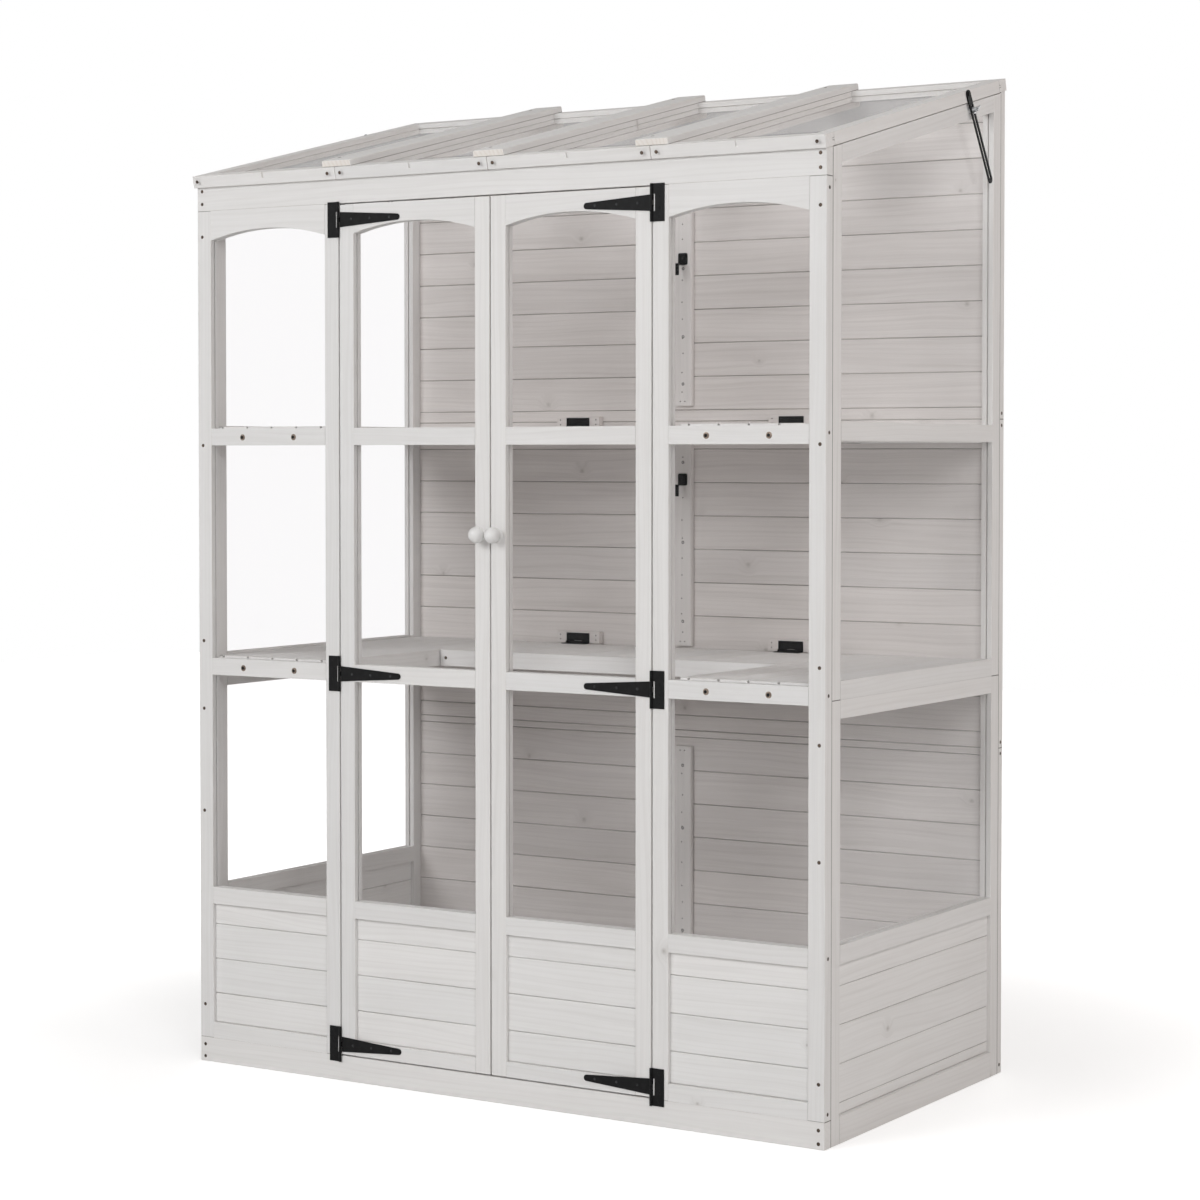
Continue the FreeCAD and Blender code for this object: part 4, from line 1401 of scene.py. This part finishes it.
@dataclass
class Door(Assembly):
    """One glazed door with its T hinges and knob."""

    side: Side
    leaf: float = 1.6 * MM
    strap_screws: tuple[float, ...] = (0.22, 0.52, 0.84)
    plate_screws: tuple[float, ...] = (-0.38, -0.14, 0.14, 0.38)
    plate_line: float = 0.62
    slot_shares: Span = (0.205, 0.325)
    slot_height: float = 0.45
    knuckle_start: float = 15.3 * MM
    knuckle_sides: int = 20
    web_overlap: float = 0.4 * MM

    def build(self) -> None:
        """Makes the leaf, its panes and its hardware."""
        name = self.side.word + "_door_"
        self.shop.timber(name + "frame")
        self.shop.boarding(name + "boards")
        self.shop.sheets(name + "panes")
        self.shop.paint(name + "knob", self.palette.knob)
        self.shop.black(name + "hinge_straps")
        self.shop.black(name + "hinge_plates", carve=self.slot)

    def slot(self, plate: Solid) -> None:
        """Cuts the slot beside the knuckles through a hinge plate.

        Args:
            plate: The plate, whose knuckles are on the door's side.
        """
        low, high = box_of([vertex.co for vertex in plate.verts])
        root = low.x if self.side is Side.RIGHT else high.x
        width = (high.x - low.x) * self.side.value
        left, right = sorted(root + width * share for share in self.slot_shares)
        middle = (low.z + high.z) / 2
        rise = (high.z - low.z) * self.slot_height / 2
        pierce(plate, Vector((left, low.y, middle - rise)), Vector((right, high.y, middle + rise)))

    def dress(self) -> None:
        """Adds the hinges' long knuckles and screws."""
        self.knuckles()
        door = self.side.word + "_door"
        straps = self.strap_fixings()
        plates = self.plate_fixings()
        self.screws(door + "_hinge_straps_screws", HINGE_SCREW, straps, door, self.palette.steel)
        self.screws(door + "_hinge_plates_screws", HINGE_SCREW, plates, "frame", self.palette.black)

    def knuckles(self) -> None:
        """Carries the plates' knuckles on to the plates' ends, above and below the straps."""
        name = self.side.word + "_door_hinge"
        joint = next(entry for entry in frame["joints"] if entry["name"] == name)
        store = MeshStore()
        for faces in solids_of(name + "_plates"):
            for solid in self.long_knuckles(corner_points(faces), Vector(joint["pos_m"])):
                store.take(solid, Vector(), 0.0)
        piece = store.piece(name + "_knuckles", [self.palette.black])
        self.shop.keep(piece, "frame", Slot.BLACK)

    def long_knuckles(self, points: Sequence[Vector], axis: Vector) -> list[Solid]:
        """Models the long knuckles of one plate.

        Args:
            points: The plate's corners.
            axis: A point on the hinge's axis.

        Returns:
            For each end of the plate a tube, and a web that joins it to the plate.
        """
        low, high = box_of(points)
        middle = (low.z + high.z) / 2
        length = (high.z - low.z) / 2 - self.knuckle_start
        radius = axis.y - low.y
        top = [point for point in points if abs(point.z - high.z) < self.web_overlap]
        front = min(point.y for point in top)
        width = min(abs(point.x - axis.x) for point in top) + self.web_overlap
        solids = []
        for end in (-1, 1):
            rise = middle + end * (self.knuckle_start + length / 2)
            tube = blank_solid()
            bmesh.ops.create_cone(tube, cap_ends=True, segments=self.knuckle_sides, radius1=radius,
                                  radius2=radius, depth=length,
                                  matrix=Matrix.Translation((axis.x, axis.y, rise)))
            web = blank_solid()
            centre = Vector((axis.x + self.side.value * width / 2, (front + high.y) / 2, rise))
            size = Matrix.Diagonal((width, high.y - front, length, 1.0))
            bmesh.ops.create_cube(web, size=1.0, matrix=Matrix.Translation(centre) @ size)
            solids += [tube, web]
        return solids

    def strap_fixings(self) -> list[Fixing]:
        """Places the screws along each strap.

        Returns:
            Their places.
        """
        fixings = []
        for low, high in boxes_of(self.side.word + "_door_hinge_straps"):
            root = high.x if self.side is Side.RIGHT else low.x
            length = (high.x - low.x) * -self.side.value
            across = [root + length * share for share in self.strap_screws]
            fixings += on_front(across, high.y - self.leaf, [(low.z + high.z) / 2])
        return fixings

    def plate_fixings(self) -> list[Fixing]:
        """Places the screws up each plate.

        Returns:
            Their places.
        """
        line = self.plate_line if self.side is Side.RIGHT else 1.0 - self.plate_line
        fixings = []
        for low, high in boxes_of(self.side.word + "_door_hinge_plates"):
            middle = (low.z + high.z) / 2
            heights = [middle + (high.z - low.z) * share for share in self.plate_screws]
            fixings += on_front([low.x + (high.x - low.x) * line], high.y - self.leaf, heights)
        return fixings


@dataclass
class SideWall(Assembly):
    """One end wall: two stacked glazed panels."""

    side: Side
    front_inset: float = 12.5 * MM
    rear_inset: float = 10.0 * MM
    front_shares: tuple[float, ...] = (0.036, 0.197, 0.468, 0.738, 0.988)
    rear_shares: tuple[float, ...] = (0.010, 0.371, 0.384, 0.749, 0.763)
    roof_joint: float = 1.8 * MM
    joint_reach: float = 1.2 * MM

    def build(self) -> None:
        """Makes the frame, boards and panes."""
        name = self.side.word + "_side_"
        self.shop.timber(name + "frame", carve=self.relieve)
        self.shop.boarding(name + "boards")
        self.shop.sheets(name + "panes")

    def relieve(self, solid: Solid) -> None:
        """Takes the frame's top down a little, so that its joint with the roof shows.

        Args:
            solid: A member of the frame.
        """
        seat = self.seat()
        for vertex in solid.verts:
            if seat - vertex.co.dot(OFF_SLOPE) < self.joint_reach:
                vertex.co -= OFF_SLOPE * self.roof_joint

    def seat(self) -> float:
        """Height of the frame's top, measured square to the roof."""
        mesh = frame["nodes"][self.side.word + "_side_frame"].data
        return max(vertex.co.dot(OFF_SLOPE) for vertex in mesh.vertices)

    def dress(self) -> None:
        """Adds the screws that tie the wall to the front and the back."""
        low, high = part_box(self.side.word + "_side_frame")
        x = high.x if self.side is Side.RIGHT else low.x
        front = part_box("front_sill")[0].y + self.front_inset
        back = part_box("back_frame")[1].y - self.rear_inset
        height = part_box("front_header")[0].z
        out = RIGHT * self.side.value
        fixings = [Fixing(Vector((x, front, height * share)), out) for share in self.front_shares]
        fixings += [Fixing(Vector((x, back, height * share)), out) for share in self.rear_shares]
        self.screws(self.side.word + "_side_screws", FRAME_SCREW, fixings, "frame", self.palette.screw)


@dataclass
class BackWall(Assembly):
    """Boarded back with its outer frames and inner battens."""

    nail_steps: Span = (29.0 * MM, 50.0 * MM)
    nail_line: float = -1.5 * MM
    nail_drift: float = 1.5 * MM
    end_inset: float = 9.0 * MM
    end_pair: Span = (-6.5 * MM, 4.5 * MM)
    screw_heights: tuple[float, ...] = tuple(
        height * MM for height in (229, 448, 582, 889, 1057, 1227, 1393, 1493, 1637, 1790))
    screw_sink: float = 0.25 * MM

    def build(self) -> None:
        """Makes the frames, boards and battens."""
        self.shop.timber("back_frame")
        self.shop.timber("back_battens", stain=self.palette.batten)
        self.shop.boarding("back_boards", stain=self.palette.inside)

    def dress(self) -> None:
        """Nails the battens to the boards and screws them to the frames."""
        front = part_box("back_battens")[0].y + self.screw_sink
        holders = on_front([0.0], front, self.screw_heights)
        self.screws("batten_nails", BATTEN_NAIL, self.nails(), "frame", self.palette.screw)
        self.screws("batten_screws", FRAME_SCREW, holders, "frame", self.palette.black)

    def nails(self) -> list[Fixing]:
        """Places two nails at each end of a batten, and a wandering row between them.

        Returns:
            Their places.
        """
        chance = random.Random("batten nails")
        nails = []
        for low, high in boxes_of("back_battens"):
            for z in (low.z + self.end_inset, high.z - self.end_inset):
                nails += on_front(self.end_pair, low.y, [z])
            z = low.z + self.nail_steps[0]
            while z < high.z - self.nail_steps[0]:
                x = self.nail_line + chance.uniform(-self.nail_drift, self.nail_drift)
                nails += on_front([x], low.y, [z])
                z += chance.uniform(*self.nail_steps)
        return nails


@dataclass
class Roof(Assembly):
    """Four sashes tied by cover battens, on hinges along the back."""

    sashes: int = 4
    end_angle: float = math.radians(20)
    rail_inset: float = 15.0 * MM
    rail_rise: float = 12.0 * MM
    batten_inset: float = 40.0 * MM
    batten_drift: float = 20.0 * MM

    def build(self) -> None:
        """Makes the sashes, battens, panes and hinges."""
        self.shop.timber(*["roof_sash_%d_frame" % (number + 1) for number in range(self.sashes)])
        finishes = [self.palette.wood, self.palette.raw]
        covers = self.shop.remake("roof_cover_battens", "timber", finishes, Slot.WOOD,
                                  self.shop.timber_rounding)
        for polygon in covers.data.polygons:
            if (-polygon.normal).angle(UP_SLOPE) < self.end_angle:
                polygon.material_index = 1
        self.shop.sheets("roof_panes")
        self.shop.black("roof_hinge_sash_leaves", "roof_hinge_back_leaves")

    def dress(self) -> None:
        """Adds the screws in the sashes' front rails and in the battens."""
        fixings = self.rail_fixings() + self.batten_fixings()
        self.screws("roof_rail_screws", FRAME_SCREW, fixings, "roof", self.palette.screw)

    def rail_fixings(self) -> list[Fixing]:
        """Places a screw at each end of the front rails.

        Returns:
            Their places.
        """
        fixings = []
        for number in range(self.sashes):
            low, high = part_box("roof_sash_%d_frame" % (number + 1))
            face = Vector((0.0, low.y, low.z)) + OFF_SLOPE * self.rail_rise
            for x in (low.x + self.rail_inset, high.x - self.rail_inset):
                fixings.append(Fixing(Vector((x, face.y, face.z)), -UP_SLOPE))
        return fixings

    def batten_fixings(self) -> list[Fixing]:
        """Places a screw near each end of the cover battens.

        Returns:
            Their places.
        """
        fixings = []
        for faces in solids_of("roof_cover_battens"):
            points = corner_points(faces)
            middle = sum(point.x for point in points) / len(points)
            top = max(point.dot(OFF_SLOPE) for point in points)
            start, end = [pick(point.dot(UP_SLOPE) for point in points) for pick in (min, max)]
            for along in (start + self.batten_inset, end - self.batten_inset):
                place = UP_SLOPE * along + OFF_SLOPE * top + RIGHT * (middle - self.batten_drift)
                fixings.append(Fixing(place, OFF_SLOPE))
        return fixings


@dataclass
class Stay(Assembly):
    """Slotted roof stay with its clamp bolt and wing nut."""

    side: Side

    def build(self) -> None:
        """Makes the bar, bolt and nut."""
        name = self.side.word + "_stay_"
        self.shop.black(name + "bar")
        self.shop.plated(self.palette.zinc, name + "bolt", name + "wing_nut")


@dataclass
class Shelves(Assembly):
    """Both levels of shelves, with hinges and latches."""

    levels: tuple[str, ...] = ("lower", "upper")
    apron_inset: float = 14.0 * MM
    block_inset: float = 9.0 * MM
    block_rise: float = 5.0 * MM

    def build(self) -> None:
        """Makes the fixed and folding shelves and their hardware."""
        for level in self.levels:
            self.shop.timber(*[side.word + "_" + level + "_side_shelf" for side in Side])
            self.shop.timber(level + "_middle_shelf_frame", level + "_middle_shelf_slats")
            self.shop.black(level + "_middle_shelf_hinge_leaves", level + "_latch")
        self.shop.timber("shelf_hinge_blocks", stain=self.palette.inside)
        self.shop.black("shelf_hinge_wall_leaves", "latch_screws")

    def dress(self) -> None:
        """Adds the nails in the hinge blocks and the screws in the folding shelves' front aprons."""
        finish = self.palette.screw
        self.screws("hinge_block_nails", BATTEN_NAIL, self.block_nails(), "frame", finish)
        for level in self.levels:
            shelf = level + "_middle_shelf"
            low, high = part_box(shelf + "_frame")
            ends = (low.x + self.apron_inset, high.x - self.apron_inset)
            fixings = on_front(ends, low.y, [(low.z + high.z) / 2])
            self.screws(level + "_apron_screws", FRAME_SCREW, fixings, shelf, finish)

    def block_nails(self) -> list[Fixing]:
        """Places two nails, one over the other, at each end of the hinge blocks.

        Returns:
            Their places.
        """
        nails = []
        for low, high in boxes_of("shelf_hinge_blocks"):
            middle = (low.z + high.z) / 2
            ends = (low.x + self.block_inset, high.x - self.block_inset)
            nails += on_front(ends, low.y, [middle - self.block_rise, middle + self.block_rise])
        return nails


# Stage


SHADE_TINT: Triple = (1.0, 0.94, 0.91)


@dataclass(frozen=True)
class SoftLamp:
    """A square soft lamp."""

    name: str
    place: Triple
    target: Triple
    size: float
    power: float
    tint: Triple = (0.985, 0.995, 1.0)

    def hang(self) -> None:
        """Adds the lamp to the scene."""
        data = bpy.data.lights.new(self.name, "AREA")
        data.size = self.size
        data.energy = self.power
        data.color = self.tint
        lamp = bpy.data.objects.new(self.name, data)
        lamp.location = self.place
        lamp.rotation_euler = (Vector(self.target) - Vector(self.place)).to_track_quat("-Z", "Y").to_euler()
        bpy.context.scene.collection.objects.link(lamp)


@dataclass
class Studio:
    """Pale floor, soft light and the camera."""

    camera_place: Vector = field(default_factory=lambda: Vector((3.0655, -4.8624, 1.2427)))
    yaw: float = math.radians(32.09)
    pitch: float = math.radians(1.718)
    lens: float = 85.47
    shift: float = -0.0497
    sensor: float = 36.0
    floor_half: float = 9.0
    floor_tint: Colour = (0.82, 0.82, 0.82, 1.0)
    floor_roughness: float = 0.9
    floor_glow: float = 0.42
    glow_reach: Span = (0.9, 2.8)
    world_light: float = 0.10
    world_tint: Colour = (1.0, 0.87, 0.80, 1.0)
    backdrop_top: Span = (math.radians(10.0), math.radians(16.0))
    ceiling: float = 0.42
    lamps: tuple[SoftLamp, ...] = (
        SoftLamp("key", (-2.2, -5.8, 3.7), (0.0, 0.0, 1.1), 2.8, 150.0),
        SoftLamp("front fill", (-0.9, -6.2, 2.4), (0.0, 0.0, 1.0), 2.4, 36.0),
        SoftLamp("camera side", (4.2, -4.6, 3.6), (0.0, 0.0, 1.1), 2.2, 100.0),
        SoftLamp("overhead", (0.0, -1.4, 5.4), (0.0, 0.0, 1.0), 3.2, 42.0),
        SoftLamp("right fill", (4.6, 0.0, 3.5), (0.0, 0.0, 1.0), 2.4, 50.0, SHADE_TINT),
        SoftLamp("low right fill", (5.2, 0.2, 1.2), (0.0, 0.0, 0.8), 2.4, 20.0, SHADE_TINT),
        SoftLamp("left fill", (-4.6, 0.2, 3.2), (0.0, 0.0, 0.9), 2.4, 18.0, SHADE_TINT),
        SoftLamp("back fill", (0.0, 6.2, 2.0), (0.0, 0.0, 1.0), 2.8, 125.0),
    )

    def build(self) -> None:
        """Sets up the stage."""
        self.floor()
        self.world()
        for lamp in self.lamps:
            lamp.hang()
        self.camera()
        bpy.context.scene.view_settings.view_transform = "Standard"

    def floor(self) -> None:
        """Lays a floor that shows white to the camera and keeps a soft shadow."""
        mesh = bpy.data.meshes.new("studio_floor")
        half = self.floor_half
        mesh.from_pydata([(-half, -half, 0.0), (half, -half, 0.0), (half, half, 0.0), (-half, half, 0.0)],
                         [], [(0, 1, 2, 3)])
        floor = bpy.data.objects.new("studio_floor", mesh)
        bpy.context.scene.collection.objects.link(floor)
        material, bench, shader = new_material("studio floor")
        bench.wire(shader, Base_Color=self.floor_tint, Roughness=self.floor_roughness)
        spot = bench.node("ShaderNodeVectorMath", operation="LENGTH")
        bench.feed(spot.inputs[0], bench.own_space())
        white = bench.ramp(spot.outputs["Value"], *self.glow_reach, self.floor_glow, 1.0)
        glow = bench.node("ShaderNodeEmission")
        bench.wire(glow, Strength=bench.times(self.seen(bench), white))
        both = bench.node("ShaderNodeAddShader")
        bench.feed(both.inputs[0], shader.outputs[0])
        bench.feed(both.inputs[1], glow.outputs[0])
        bench.wire(material.node_tree.nodes["Material Output"], Surface=both.outputs[0])
        mesh.materials.append(material)

    @staticmethod
    def seen(bench: NodeBench) -> Socket:
        """Tells the rays that show the background, straight, mirrored or through glass.

        Args:
            bench: Node tree of the floor or the world.

        Returns:
            A socket that is 1 for those rays and 0 for the rest.
        """
        path = bench.node("ShaderNodeLightPath")
        straight = bench.math("MAXIMUM", path.outputs["Is Camera Ray"], path.outputs["Is Transmission Ray"])
        return bench.math("MAXIMUM", straight, path.outputs["Is Glossy Ray"])

    def world(self) -> None:
        """Surrounds the stage with even light, seen as a white backdrop under a greyer ceiling."""
        world = bpy.data.worlds.new("studio")
        world.use_nodes = True
        bench = NodeBench(world.node_tree)
        light = bench.wire(world.node_tree.nodes["Background"], Color=self.world_tint,
                           Strength=self.world_light)
        toward = bench.node("ShaderNodeSeparateXYZ")
        bench.feed(toward.inputs[0], bench.node("ShaderNodeTexCoord").outputs["Generated"])
        edge, end = [math.sin(angle) for angle in self.backdrop_top]
        height = bench.ramp(toward.outputs[2], edge, end, 1.0, self.ceiling)
        white = bench.wire(bench.node("ShaderNodeBackground"), Color=WHITE, Strength=height)
        mixed = bench.node("ShaderNodeMixShader")
        bench.feed(mixed.inputs[0], self.seen(bench))
        bench.feed(mixed.inputs[1], light.outputs[0])
        bench.feed(mixed.inputs[2], white.outputs[0])
        bench.wire(world.node_tree.nodes["World Output"], Surface=mixed.outputs[0])
        bpy.context.scene.world = world

    def camera(self) -> None:
        """Places the camera at the photograph's viewing angle."""
        data = bpy.data.cameras.new("camera")
        data.lens = self.lens
        data.sensor_width = self.sensor
        data.shift_y = self.shift
        camera = bpy.data.objects.new("camera", data)
        camera.location = self.camera_place
        camera.rotation_euler = (math.pi / 2 - self.pitch, 0.0, self.yaw)
        bpy.context.scene.collection.objects.link(camera)
        bpy.context.scene.camera = camera


def main() -> None:
    """Builds the house and its stage, and reports every piece."""
    logging.basicConfig(level=logging.INFO, format="%(name)s: %(message)s")
    shop = Workshop(Palette())
    house: list[Assembly] = [FrontWall(shop), BackWall(shop), Roof(shop), Shelves(shop)]
    for side in Side:
        house += [Door(shop, side), SideWall(shop, side)]
    house += [Stay(shop, side) for side in Side]
    for assembly in house:
        assembly.build()
        assembly.dress()
    Studio().build()
    log.info("%d pieces made", len(shop.pieces))


if __name__ == "__main__":
    main()
